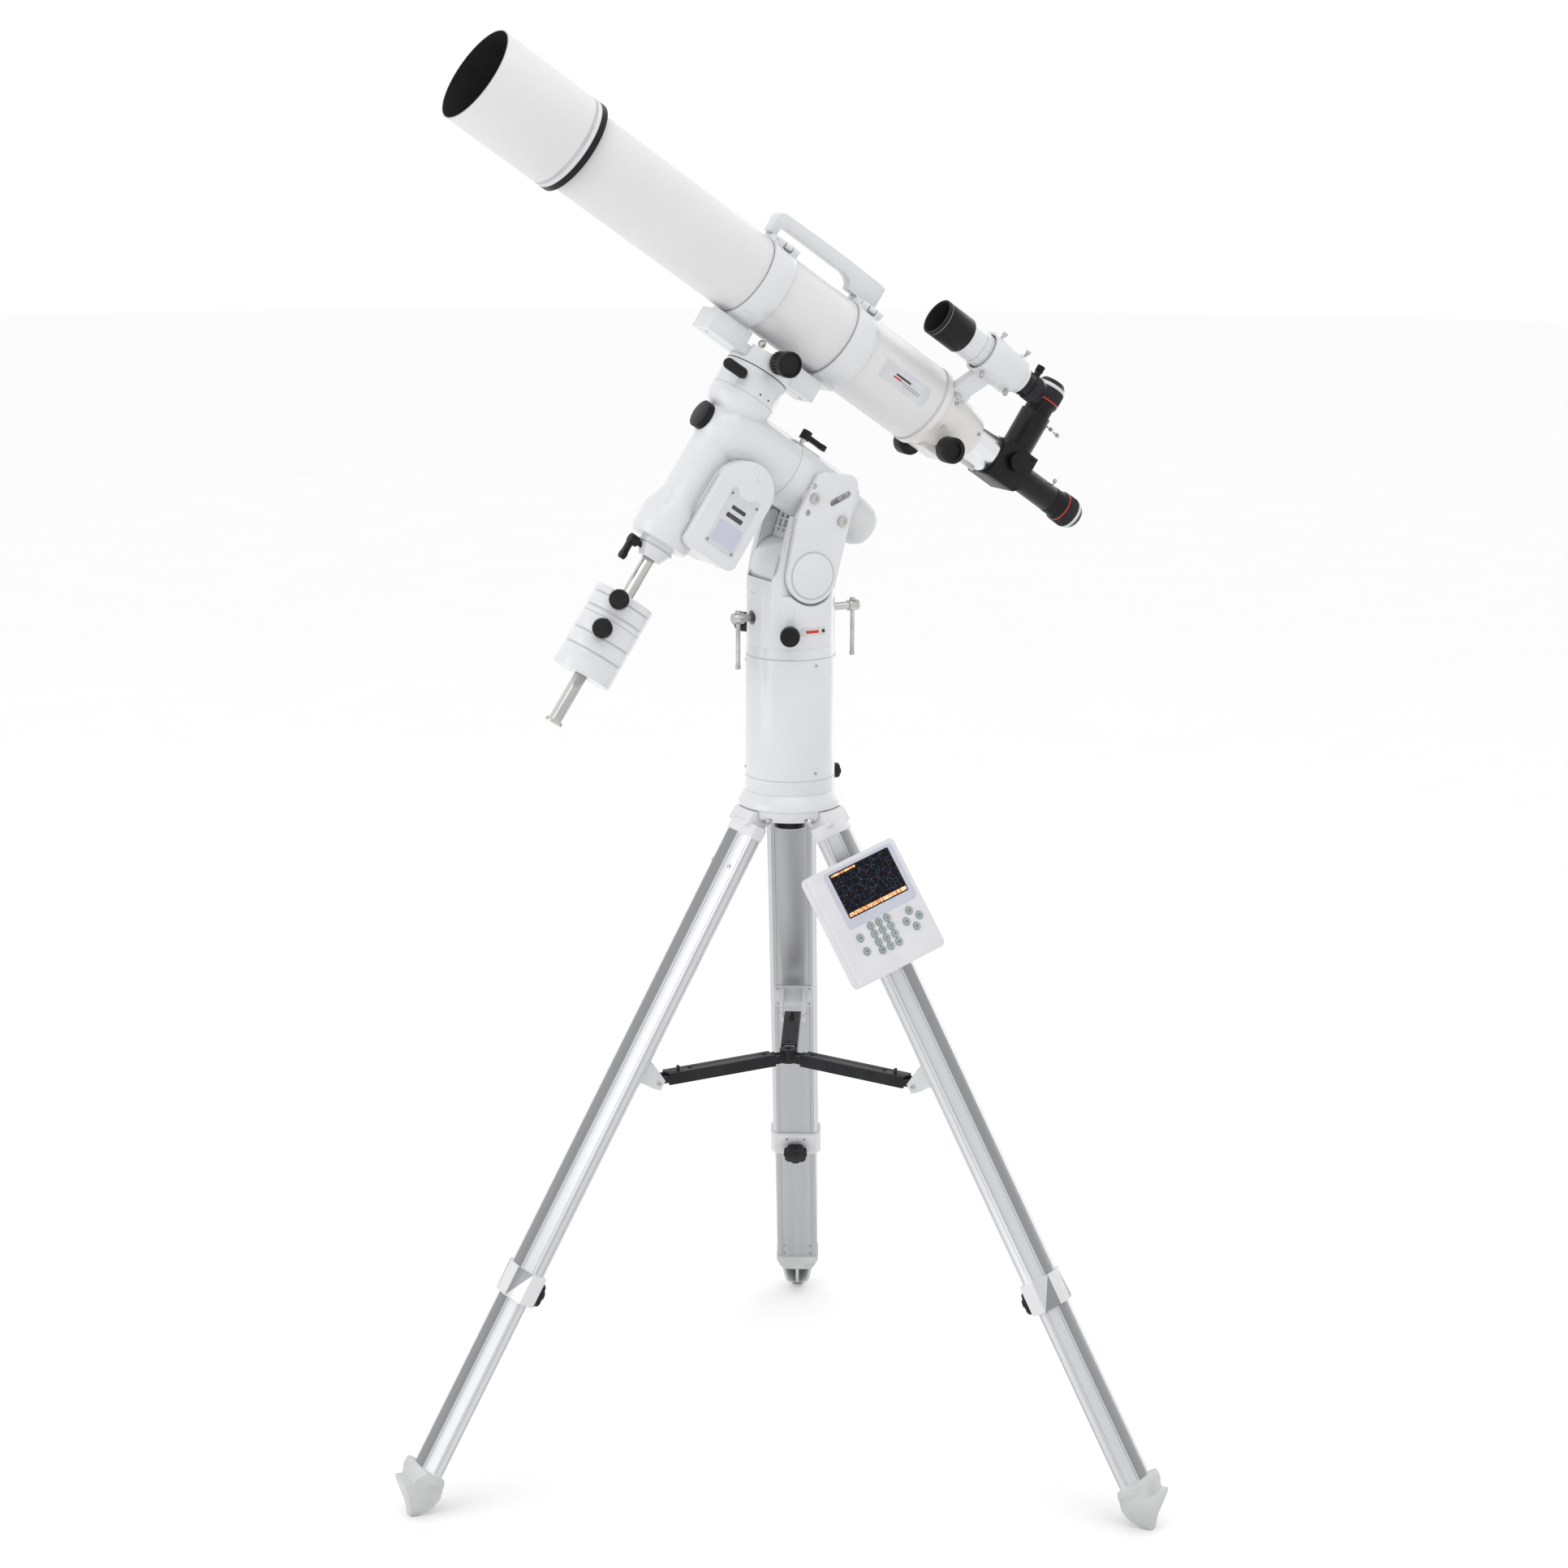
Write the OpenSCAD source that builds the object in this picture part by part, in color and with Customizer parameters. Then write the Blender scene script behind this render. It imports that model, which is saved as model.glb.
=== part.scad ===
// Refracting telescope on a German equatorial mount, half pillar and folding tripod.
// +X points south, -X north (where the tube looks), +Y east, +Z up, floor at z = 0.

/* [Tripod] */
// Radius of the leg hinges about the pillar's axis
hinge_r = 60; // [56:1:64]
// Height of the leg hinges
hinge_z = 1024; // [1000:1:1060]
// Angle of an open leg from the vertical
leg_spread = 30; // [26:0.5:32]
// Width of a leg extrusion
leg_w = 76; // [70:1:80]
// Depth of a leg extrusion
leg_depth = 33; // [30:1:36]
// Distance from the hinge to the middle of the leg clamp
clamp_at = 793; // [760:1:820]
// Distance from the hinge to the brace pivot, along the leg
brace_at = 431; // [420:1:440]
// Height of the brace hub's pivots
hub_z = 631; // [620:1:640]

/* [Pillar] */
// Outer radius of the half pillar
pillar_r = 68.3; // [66:0.1:70]
// Height of the pillar's lower face
pillar_z = 1062; // [1050:1:1075]
// Length of the pillar with its lower flange
pillar_len = 210; // [200:1:220]

/* [Mount] */
// Latitude that the polar axis is set to
latitude = 34; // [31:0.5:37]
// Height of the altitude pivot
pivot_z = 1398; // [1390:1:1405]
// Distance of the crossing of the two axes north of the pillar
axes_north = 114.5; // [110:0.5:120]
// Height of the crossing of the two axes
axes_z = 1615.7; // [1605:0.1:1625]
// Radius of the two axis barrels
barrel_r = 50; // [48:0.5:52]

/* [Counterweights] */
// Radius of the counterweight bar
bar_r = 10; // [9:0.1:10]
// Distance of the bar's end below the crossing of the axes
bar_end = 502; // [480:1:520]
// Radius of both weights
weight_r = 46.5; // [44:0.5:50]

/* [Optical tube] */
// Distance of the optical axis above the crossing of the axes
tube_off = 208; // [205:1:212]
// Outer radius of the main tube
tube_r = 62.5; // [61:0.5:63]
// Outer radius of the dew shield
shield_r = 72.5; // [71:0.5:74]
// Front of the dew shield, ahead of the declination axis
shield_front = 608; // [600:1:615]
// Radius of the drawtube
draw_r = 32; // [31:0.5:33]

/* [Controller] */
// Width of the hand controller
ctrl_w = 162; // [154:1:164]
// Height of the hand controller
ctrl_h = 182; // [169:1:184]
// Thickness of the hand controller
ctrl_d = 30; // [28:1:34]

/* [Hidden] */
$fn = 96;

// The origin is the middle of the footprint's box, so the pillar stands a little south of it.
pillar_x = 71.5;
fit = 0.05;
gap = 0.3;
white = "#eef0f2";
silver = "#a9adb3";
steel = "#8f8f8c";
black = "#1c1d1f";
dark = "#2b2d30";

leg_dir = [60, 180, 300];
leg_wall = 2.2;
leg_out = -23.3;
leg_in = leg_out + leg_depth;
tongue_w = 58;
casting_end = 34;
head_z = 1020;
flange_z = 1038;
head_r = 76;
brace_x = 47;
hub_r = 21;
lock_dir = 8;
lock_z = pillar_z + 16;
azimuth_z = pillar_z + pillar_len + 16;
azimuth_dir = 61;
pivot_x = 3;
plate_bolts = [[3, 116], [50, 79]];
screw_side = [-1, 1];
screw_head = [-90, 107];
screw_z = [pivot_z - 67, pivot_z - 61];
cheek_in = 38;
cheek_out = 51;
drum_r = 53;
plate_in = 53;
plate_t = 9;
dec_lever_dir = 227;
split_s = -113;
seam_d = 98.5;
bar_bottom = 105;
bar_top = 138;
collar_end = -222;
ring_s = [77, -94];
ring_w = 40;
ring_r = 68;
ring_hinge_r = 72;
lid_angle = -30;
shield_rear = 427;
cell_rear = 436;
tube_rear = -265;
focuser_rear = -368;
pinion_s = -316;
pinion_x = -45;
finder_x = 107;
finder_y = -66;
box_s = -447;
box_half = 32;
up_port_s = -454;

// Frames --------------------------------------------------------------------

// Pillar axis at x = 0
module at_pillar() {
  translate([pillar_x, 0, 0]) children();
}

// Crossing of the axes at the origin, +Z along the polar axis, +X up the declination axis
module polar() {
  at_pillar() translate([-axes_north, 0, axes_z]) rotate([0, latitude - 90, 0]) children();
}

// Crossing of the axes at the origin, +Z up the declination axis, +X away from the pole
module dec() {
  polar() rotate([0, 90, 0]) children();
}

// Optical axis along +Z, +X away from the mount
module tube() {
  polar() translate([tube_off, 0, 0]) children();
}

// Leg hinge at the origin, +Z down the leg, +X inward, +Y sideways
module leg(i) {
  at_pillar() rotate([0, 0, leg_dir[i]]) translate([hinge_r, 0, hinge_z])
    rotate([0, 180 - leg_spread, 0]) children();
}

// Middle of the controller's front face, +X right, +Y up, +Z out of the face
module controller() {
  at_pillar() translate([46, -194, 906]) rotate([63.3, 0, 0]) rotate([0, 0, 16.5]) children();
}

// Shared shapes ---------------------------------------------------------------

// A cylinder along Z between two heights
module rod(r, z0, z1) {
  translate([0, 0, min(z0, z1)]) cylinder(r = r, h = abs(z1 - z0));
}

// A cylinder along Y between two places
module rod_y(r, y0, y1) {
  translate([0, min(y0, y1), 0]) rotate([-90, 0, 0]) cylinder(r = r, h = abs(y1 - y0));
}

// A cylinder along X between two places
module rod_x(r, x0, x1) {
  translate([min(x0, x1), 0, 0]) rotate([0, 90, 0]) cylinder(r = r, h = abs(x1 - x0));
}

// A box from its lowest to its highest corner
module block(lo, hi) {
  translate(lo) cube(hi - lo);
}

// A tube along Z
module pipe(r_out, r_in, z0, z1) {
  difference() {
    rod(r_out, z0, z1);
    translate([0, 0, min(z0, z1) - 1]) cylinder(r = r_in, h = abs(z1 - z0) + 2);
  }
}

// A lobed hand knob along Z with its face up
module lobed_knob(r, h, lobes) {
  difference() {
    cylinder(r = r, h = h);
    for (k = [0 : lobes - 1])
      rotate([0, 0, k * 360 / lobes]) translate([r * 1.19, 0, -1]) cylinder(r = r * 0.3, h = h + 2);
  }
}

// A rounded rectangle with exact corner arcs
module round_rect(w, h, r) {
  square([w - 2 * r, h], center = true);
  square([w, h - 2 * r], center = true);
  for (sx = [-1, 1], sy = [-1, 1])
    translate([sx * (w / 2 - r), sy * (h / 2 - r)]) circle(r = r);
}

// Tripod ----------------------------------------------------------------------

// Cross-section of a leg, drawn in by a wall thickness
module leg_section(wall) {
  half = leg_w / 2 - wall;
  polygon([[leg_out + wall, -14 + wall * 0.3], [leg_out + 12 + wall * 0.6, -half],
    [leg_in - 5 - wall * 0.3, -half], [leg_in - wall, -half + 6 - wall * 0.3],
    [leg_in - wall, half - 6 + wall * 0.3], [leg_in - 5 - wall * 0.3, half],
    [leg_out + 12 + wall * 0.6, half], [leg_out + wall, 14 - wall * 0.3]]);
}

// Cross-section of a leg, grown by a wall thickness
module leg_section_over(wall) {
  leg_section(-wall);
}

module tripod_head() color(white) at_pillar() difference() {
  rotate_extrude() polygon([[12, head_z + 3], [12, pillar_z], [pillar_r, pillar_z], [79, pillar_z - 17],
    [79, flange_z + 2], [77, flange_z], [head_r, flange_z], [head_r, head_z + 8],
    [72, head_z + 2], [66, head_z], [40, head_z], [38, head_z + 3]]);
  for (a = leg_dir) rotate([0, 0, a]) {
    block([hinge_r - 16, -tongue_w / 2 - 0.8, head_z - 2], [hinge_r + 40, tongue_w / 2 + 0.8, flange_z]);
    translate([hinge_r, 0, hinge_z]) rod_y(5, -50, 50);
  }
}

module leg_hinge_bolts() color(steel) at_pillar() for (a = leg_dir) rotate([0, 0, a])
  translate([hinge_r, 0, hinge_z]) rod_y(5, -44, 44);

// Flanged half pillar: lower flange, tube and the mount's fixed azimuth ring
module pillar() color(white) at_pillar() {
  difference() {
    rod(pillar_r, pillar_z, pillar_z + 30);
    rod(12, pillar_z - 1, pillar_z + 12);
    rod(pillar_r - 8, pillar_z + 10, pillar_z + 31);
    rotate([0, 0, lock_dir]) translate([0, 0, lock_z]) rod_x(4.2, pillar_r - 12, pillar_r + 2);
  }
  pipe(pillar_r, pillar_r - 6, pillar_z + 30, pillar_z + pillar_len);
  difference() {
    rod(pillar_r - 1.3, pillar_z + pillar_len, azimuth_z);
    rod(20 + fit, pillar_z + pillar_len - 1, azimuth_z + 1);
  }
}

module pillar_lock_knob() color(black) at_pillar() rotate([0, 0, lock_dir])
  translate([pillar_r, 0, lock_z]) rotate([0, 90, 0]) {
    rod(4, -8, 8);
    translate([0, 0, 8]) lobed_knob(12, 13, 6);
  }

module centre_bolt() {
  at_pillar() {
    color(black) rod(23.5, 1001, 1011);
    color(white) translate([0, 0, 996]) cylinder(r = 12, h = 5, $fn = 6);
    color(steel) rod(11.5, 1011, pillar_z + 9);
  }
}

module leg_upper(i) leg(i) {
  color(white) top_casting();
  color(silver) difference() {
    translate([0, 0, casting_end]) linear_extrude(clamp_at + 12 - casting_end) leg_section(0);
    translate([0, 0, casting_end - 1]) linear_extrude(clamp_at + 20 - casting_end) leg_section(leg_wall);
    translate([leg_in, 0, clamp_at + 8]) rod_x(4.2, -4, 2);
  }
  color(white) clamp_collar();
  color(white) brace_bracket();
}

// Tongue that turns in the head, with the socket that holds the extrusion
module top_casting() {
  difference() {
    union() {
      rod_y(13.5, -tongue_w / 2, tongue_w / 2);
      rotate([90, 0, 0]) translate([0, 0, -tongue_w / 2]) linear_extrude(tongue_w)
        polygon([[leg_out + 1, -2], [-8, -10.5], [9, -9], [leg_in, 14], [leg_in, 20], [leg_out, 20]]);
      translate([0, 0, 14]) linear_extrude(casting_end - 14) leg_section_over(1.2);
      translate([0, 0, casting_end]) linear_extrude(24) leg_section(leg_wall);
    }
    rod_y(5 + fit, -tongue_w, tongue_w);
    translate([0, 0, 20]) linear_extrude(60) leg_section(8);
  }
}

module clamp_collar() {
  translate([0, 0, clamp_at - 24]) difference() {
    linear_extrude(48) leg_section_over(4.8);
    translate([0, 0, -1]) linear_extrude(37) leg_section(0);
    translate([0, 0, 35]) linear_extrude(20) leg_section(leg_wall);
    translate([leg_in - 4, 0, 32]) rod_x(4.2, 0, 20);
  }
}

// Fork on the inside of the leg that takes the brace arm
module brace_bracket() {
  for (s = [-1, 1]) translate([0, s * 17.5, brace_at]) rotate([90, 0, 0]) translate([0, 0, -2])
    linear_extrude(4) polygon([[leg_in, -24], [leg_in + 12, -24], [brace_x + 9, -7], [brace_x + 9, 9],
      [brace_x - 4, 11], [leg_in, 11]]);
  for (s = [-1, 1]) translate([brace_x, 0, brace_at]) rod_y(3.5, s * 15.5, s * 21.5);
}

module leg_1_upper() leg_upper(0);
module leg_2_upper() leg_upper(1);
module leg_3_upper() {
  leg_upper(2);
  controller_hanger();
}

// Bracket on the outside of the third leg, with the peg that the controller hangs on
module controller_hanger() color(dark) {
  leg(2) translate([0, 0, 145]) linear_extrude(30)
    polygon([[leg_out + 1, -13], [leg_out + 1, 13], [-55.4, 13], [-42.4, -13]]);
  controller() translate([38, 0, -ctrl_d - 6]) rod_y(4, 18, 38);
}

// Lower extrusion, held in the upper one, and the foot under it
module leg_lower(i) leg(i) {
  color(silver) difference() {
    translate([0, 0, 470]) linear_extrude(638) leg_section(leg_wall + gap);
    translate([0, 0, 469]) linear_extrude(629) leg_section(2 * leg_wall + gap);
  }
  color(white) foot();
}

// Distance down the leg at which the floor lies, for a place across the leg
function floor_at(x) = (hinge_z - x * sin(leg_spread)) / cos(leg_spread);

module foot() difference() {
  intersection() {
    rotate([90, 0, 0]) translate([0, 0, -50]) linear_extrude(100)
      polygon([[leg_out + 0.5, 1104], [-29, 1118], [-28, 1130], [-38, 1134], [-36, 1139], [-8, 1166],
        [2, floor_at(2)], [13, floor_at(13)], [24, 1156], [27, 1138], [22, 1124], [leg_in, 1106]]);
    rotate([90, 0, 90]) translate([0, 0, -50]) linear_extrude(100)
      polygon([[-37, 1103], [-37, 1109], [-31, 1118], [-26, 1122], [-19, 1152], [-11, 1170], [-5, 1190],
        [5, 1190], [11, 1170], [19, 1152], [26, 1122], [31, 1118], [37, 1109], [37, 1103]]);
  }
  for (s = [-1, 1]) translate([-6, 0, 0]) rotate([90, 0, 90]) linear_extrude(50)
    polygon([[s * 2.5, 1124], [s * 21, 1124], [s * 15.5, 1148], [s * 6, 1163], [s * 2.5, 1163]]);
}

module leg_1_lower() leg_lower(0);
module leg_2_lower() leg_lower(1);
module leg_3_lower() leg_lower(2);

// Clamp screw with its lobed head on the inside of the leg
module leg_knob(i) leg(i) color(black) translate([leg_in, 0, clamp_at + 8]) {
  rod_x(4, -1.9, 16);
  translate([13, 0, 0]) rotate([0, 90, 0]) lobed_knob(20, 11, 7);
}

module leg_1_knob() leg_knob(0);
module leg_2_knob() leg_knob(1);
module leg_3_knob() leg_knob(2);

module brace_hub() color(black) at_pillar() {
  difference() {
    rod(14, hub_z - 9, hub_z + 12);
    rod(4.2, hub_z - 10, hub_z + 13);
  }
  for (a = leg_dir) rotate([0, 0, a]) difference() {
    union() {
      for (s = [-1, 1]) {
        block([9, s * 6 - 2, hub_z - 7], [hub_r, s * 6 + 2, hub_z + 6]);
        translate([hub_r, 0, hub_z - 0.5]) rod_y(6.5, s * 4, s * 8);
      }
    }
    translate([hub_r, 0, hub_z]) rod_y(2.5, -9, 9);
  }
}

// One arm of the brace, hinged on the hub and running out to the leg's fork
module brace_arm(i) {
  span = hinge_r + brace_at * sin(leg_spread) - brace_x * cos(leg_spread) - hub_r;
  drop = hub_z - hinge_z + brace_at * cos(leg_spread) + brace_x * sin(leg_spread);
  arm = sqrt(span * span + drop * drop);
  at_pillar() rotate([0, 0, leg_dir[i]]) translate([hub_r, 0, hub_z]) rotate([0, atan(drop / span), 0]) {
    color(black) difference() {
      union() {
        block([8, -13, -9], [arm - 22, 13, 9]);
        rod_y(6, -13, 13);
        block([0, -13, -6], [10, 13, 6]);
        block([arm - 24, -13, -5], [arm, 13, 5]);
        translate([arm, 0, 0]) rod_y(5, -13, 13);
      }
      block([-9, -8.3, -12], [arm - 10, 8.3, 7]);
      block([-9, -8.3, -12], [10, 8.3, 12]);
      translate([arm, 0, 0]) rod_y(2.6, -20, 20);
      for (x = [22, arm - 62]) translate([x, 0, 0]) rod(3.5, 0, 12);
    }
    color(black) block([arm - 44, -3, 9], [arm - 41, 3, 16]);
    color(steel) rod_y(2.45, -13.5, 13.5);
  }
}

module brace_arm_1() brace_arm(0);
module brace_arm_2() brace_arm(1);
module brace_arm_3() brace_arm(2);

// Equatorial mount ------------------------------------------------------------

// Base casting that turns in azimuth: a drum below, a fork of two cheeks above
module mount_base() color(white) at_pillar() difference() {
  union() {
    rod(67, azimuth_z, pivot_z - 30);
    rod(19.95, pillar_z + pillar_len, azimuth_z);
    intersection() {
      rod(67, pivot_z - 31, pivot_z + 90);
      rotate([90, 0, 0]) translate([0, 0, -cheek_out]) linear_extrude(2 * cheek_out)
        polygon([[-66, pivot_z - 31], [66, pivot_z - 31], [58, pivot_z + 16], [36, pivot_z + 50],
          [-6, pivot_z + 88], [-24, pivot_z + 88], [-48, pivot_z + 4]]);
    }
  }
  translate([pivot_x, 0, pivot_z]) {
    rod_y(58, -cheek_in, cheek_in);
    block([-80, -cheek_in, 0], [80, cheek_in, 120]);
    for (s = [-1, 1]) rod_y(46, s * cheek_out, s * 90);
    rod_y(14 + fit, -70, 70);
  }
  block([-20, -22, azimuth_z + 30], [26, 22, pivot_z]);
  for (k = [0, 1]) translate([0, 0, screw_z[k]]) {
    rod_x(6.3, 15 * screw_side[k], 70 * screw_side[k]);
    rod_x(11, 56 * screw_side[k], 70 * screw_side[k]);
  }
  for (s = [-1, 1]) rotate([0, 0, 180 + s * azimuth_dir]) translate([0, 0, azimuth_z + 23]) rod_x(5.3, 34, 70);
  rod(13, pillar_z + pillar_len - 1, azimuth_z + 31);
}

// Screw with a round knurled head that pushes the mount round in azimuth
module azimuth_knob(s) at_pillar() rotate([0, 0, 180 + s * azimuth_dir]) translate([0, 0, azimuth_z + 23]) {
  color(steel) rod_x(5, 40, 78);
  color(black) rod_x(15, 78, 95);
}

module azimuth_knob_near() azimuth_knob(1);
module azimuth_knob_far() azimuth_knob(-1);

// Steel tommy-bar screw that pushes the polar housing in altitude
module altitude_screw(k) color(steel) at_pillar() translate([screw_head[k], 0, screw_z[k]]) {
  rod_x(6, screw_side[k] * 32 - screw_head[k], 0);
  rod_x(8.3, -8.5, 8.5);
  rod(3.5, -77, 10);
}

module altitude_screw_north() altitude_screw(0);
module altitude_screw_south() altitude_screw(1);

module polar_housing() color(white) difference() {
  union() {
    polar() rod(barrel_r, split_s - 0.6, -232);
    polar() block([-35, -34, -222], [0, 34, -128]);
    at_pillar() translate([pivot_x, 0, pivot_z]) {
      rotate([0, 20, 0]) rod_y(drum_r, -37, 37);
      rotate([0, 20, 0]) block([-32, -36, 4], [29, 36, 108]);
      block([-10, -18, -74], [10, 18, 0]);
      for (p = plate_bolts) translate([p[0], 0, p[1]]) rod_y(12, -plate_in, plate_in);
    }
  }
  polar() rod(30 + fit, split_s + 1, -200);
  polar() rod(21, -240, -190);
  polar() translate([0, 0, split_s - 10]) rod_x(4.3, 40, 60);
  at_pillar() translate([pivot_x, 0, pivot_z]) {
    for (p = plate_bolts, s = [-1, 1]) translate([p[0], 0, p[1]]) rod_y(4.4, s * 45, s * 60);
  }
}

// Outline of a side plate about the altitude pivot
module plate_outline() {
  hull() {
    circle(r = 42, $fn = 64);
    translate([-2, 84]) circle(r = 24, $fn = 48);
    translate([20, 140]) circle(r = 14, $fn = 48);
    translate([60, 131]) circle(r = 17, $fn = 48);
  }
}

module side_plates() color(white) at_pillar() for (s = [-1, 1])
  translate([pivot_x, s * plate_in + (s > 0 ? plate_t : 0), pivot_z]) rotate([90, 0, 0]) difference() {
    linear_extrude(plate_t) plate_outline();
    for (p = [[3, 134], [-8, 95]]) translate([p[0], p[1], s > 0 ? -1 : 3]) cylinder(r = 4.5, h = 7);
    for (p = plate_bolts) translate([p[0], p[1], -1]) cylinder(r = 4.4, h = plate_t + 2);
    translate([0, 0, -1]) cylinder(r = 14, h = plate_t + 2);
    translate([0, 0, s > 0 ? -1 : plate_t - 1]) cylinder(r = 36, h = 2);
    translate([47, 113, -1]) rotate([0, 0, 24]) {
      block([-14, -5, 0], [14, 5, plate_t + 2]);
      for (x = [-14, 14]) translate([x, 0, 0]) cylinder(r = 5, h = plate_t + 2);
    }
  }

// Pivot pins with their round covers, and the bolts of both plates
module side_plate_fasteners() at_pillar() for (s = [-1, 1]) translate([pivot_x, 0, pivot_z]) {
  color(white) rod_y(14, s * 40, s * (plate_in + plate_t - 1));
  color(white) rod_y(36, s * (plate_in + plate_t - 1), s * (plate_in + plate_t + 0.8));
  for (p = plate_bolts) color(steel) translate([p[0], 0, p[1]]) difference() {
    union() {
      rod_y(4.4, s * 45, s * (plate_in + plate_t));
      rod_y(7.5, s * (plate_in + plate_t), s * (plate_in + plate_t + 3));
    }
    rod_y(3.4, s * (plate_in + plate_t + 1), s * (plate_in + plate_t + 4));
  }
}

module polar_rear_cap() color("#d9dcdf") polar() rotate_extrude()
  polygon([[0, -232], [0, -298], [16, -297], [27, -291], [33, -280], [36, -262], [37, -240], [37, -232]]);

// Outline of the motor housing, seen along Y: +X away from the pole, +Y up the dec axis
module motor_outline(grow) {
  translate([50, -70]) circle(r = 46.5 + grow);
  translate([3.5 - grow, -168 - grow]) square([93 + 2 * grow, 100 + grow]);
  translate([17.5, -168]) circle(r = 14 + grow);
  translate([82.5, -168]) circle(r = 14 + grow);
  translate([17.5, -182 - grow]) square([65, 16 + grow]);
}

module ra_body() color(white) difference() {
  union() {
    dec() rotate_extrude() polygon([[0, -20], [36, -20], [36, 21], [45, 32], [49, 41], [barrel_r, 50],
      [barrel_r, seam_d - 1.5], [0, seam_d - 1.5]]);
    polar() rotate_extrude() polygon([[0, split_s], [barrel_r, split_s], [barrel_r, -6], [47, 8], [40, 21],
      [31, 31], [22, 37], [0, 37]]);
    dec() rotate_extrude() polygon([[0, -10], [36, -10], [36, -118], [47.5, -148], [47.5, -186], [44, -194],
      [28, -196], [0, -196]]);
    dec() rotate([90, 0, 0]) translate([0, 0, -38]) linear_extrude(80) motor_outline(-2.5);
    dec() rotate_extrude() polygon([[0, -195], [28, -195], [27, -204], [17.5, collar_end], [0, collar_end]]);
    polar() rod(30, -199, split_s + 1);
  }
  dec() rod(24, -60, seam_d);
  dec() rod(bar_r + gap, -230, -50);
  polar() rod(20, -200, 40);
  dec() translate([0, 0, -211]) rod_x(4.2, -30, -8);
  dec() rotate([0, 0, dec_lever_dir]) translate([0, 0, 76]) rod_x(4.3, 20, 60);
}

// Shell over the motors and gears on the near side, open towards the body
module motor_cover() color(white) difference() {
  dec() rotate([90, 0, 0]) translate([0, 0, 42]) difference() {
    linear_extrude(26) motor_outline(0);
    translate([0, 0, -1]) linear_extrude(24) motor_outline(-3);
  }
  dec() rod(48.5, -210, -60);
  polar() rod(barrel_r + 0.5, split_s, 40);
}

module polar_front_cap() color(black) polar() difference() {
  union() {
    rod(19.5, 30, 37);
    rod(21.5, 37, 48);
  }
  rod(16, 29, 44);
}

// Wing lever that locks the polar axis
module ra_clamp_lever() polar() translate([0, 0, split_s - 10]) {
  color(steel) rod_x(4, 42, 60);
  color(black) {
    rod_x(8, 58, 72);
    rotate([0, 90, 0]) translate([0, 0, 60]) linear_extrude(8) {
      translate([4, -4]) square([30, 8]);
      translate([34, 0]) circle(r = 7);
    }
  }
}

// Grip lever that locks the declination axis
module dec_clamp_lever() dec() rotate([0, 0, dec_lever_dir]) translate([0, 0, 76]) {
  color(steel) rod_x(4, 40, 66);
  color(black) translate([66, 0, 0]) rotate([0, 0, -50]) {
    rod_x(8.5, 2, 25);
    sphere(r = 8.5, $fn = 48);
    translate([25, 0, 0]) sphere(r = 8.5, $fn = 48);
  }
}

// Lever that locks the counterweight bar
module bar_clamp_lever() dec() translate([0, 0, -211]) color(black) {
  rod_x(4, -30, -13);
  rod_x(8, -44, -30);
  translate([-40, 0, 0]) rotate([0, 90, 0]) translate([0, 0, -4]) linear_extrude(8) {
    translate([2, -4.5]) square([24, 9]);
    translate([26, 0]) circle(r = 7);
  }
}

module counterweight_bar() dec() {
  color(steel) rod(bar_r - 0.05, -(bar_end - 5), -90);
  color(white) rod(13.5, -bar_end, -(bar_end - 5));
}

// A weight that slides on the bar, with its grooves
module weight(top, bottom, rims) color(white) dec() difference() {
  rod(weight_r, bottom, top);
  rod(bar_r + gap, bottom - 1, top + 1);
  for (z = rims) pipe(weight_r + 5, weight_r - 2.2, z - 1.6, z + 1.6);
  rotate([0, 0, 237]) translate([0, 0, weight_knob_z(top)]) rod_x(4.2, bar_r, weight_r + 5);
}

function weight_knob_z(top) = top < -300 ? top - 17 : top - 12;

module weight_upper() weight(-290, -333, [-302, -324]);
module weight_lower() weight(-333.5, -421, [-362, -386]);

module weight_knob(top) dec() rotate([0, 0, 237]) translate([0, 0, weight_knob_z(top)]) {
  color(steel) rod_x(4, 13, 56);
  color(black) rod_x(15, weight_r + 7, weight_r + 24);
}

module weight_upper_knob() weight_knob(-290);
module weight_lower_knob() weight_knob(-333.5);

// Turning head of the declination axis, with its shaft and the dovetail saddle
module dec_head() color(white) {
  dec() difference() {
    union() {
      rod(barrel_r, seam_d, 125);
      rod(24 - fit, -50, seam_d + 1);
    }
    rod(14, -52, 90);
    block([-60, -26.5, bar_bottom - gap], [60, 26.5, 130]);
    translate([-4, 0, 118.5]) rod_y(5.2, -60, -20);
  }
  dec() translate([-33, -34, 0]) {
    rod(3, 125, 128);
    translate([0, 0, 131]) sphere(r = 6, $fn = 48);
  }
}

module saddle_knob() dec() translate([-4, 0, 118.5]) {
  color(steel) rod_y(5, -28, -57);
  color(black) rod_y(16, -57, -80);
  color(black) rod_y(19.5, -80, -91);
}

// Optical tube ------------------------------------------------------------------

module slide_bar() color(white) tube() difference() {
  block([bar_bottom - tube_off, -26, -91], [bar_top - tube_off, 26, 118]);
  block([bar_top - tube_off - 17, -27, -47], [bar_top - tube_off + 1, 27, 51]);
  for (z = [-83, 104]) translate([0, 0, z]) rod_x(3.2, bar_bottom - tube_off - 1, bar_bottom - tube_off + 20);
}

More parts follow.
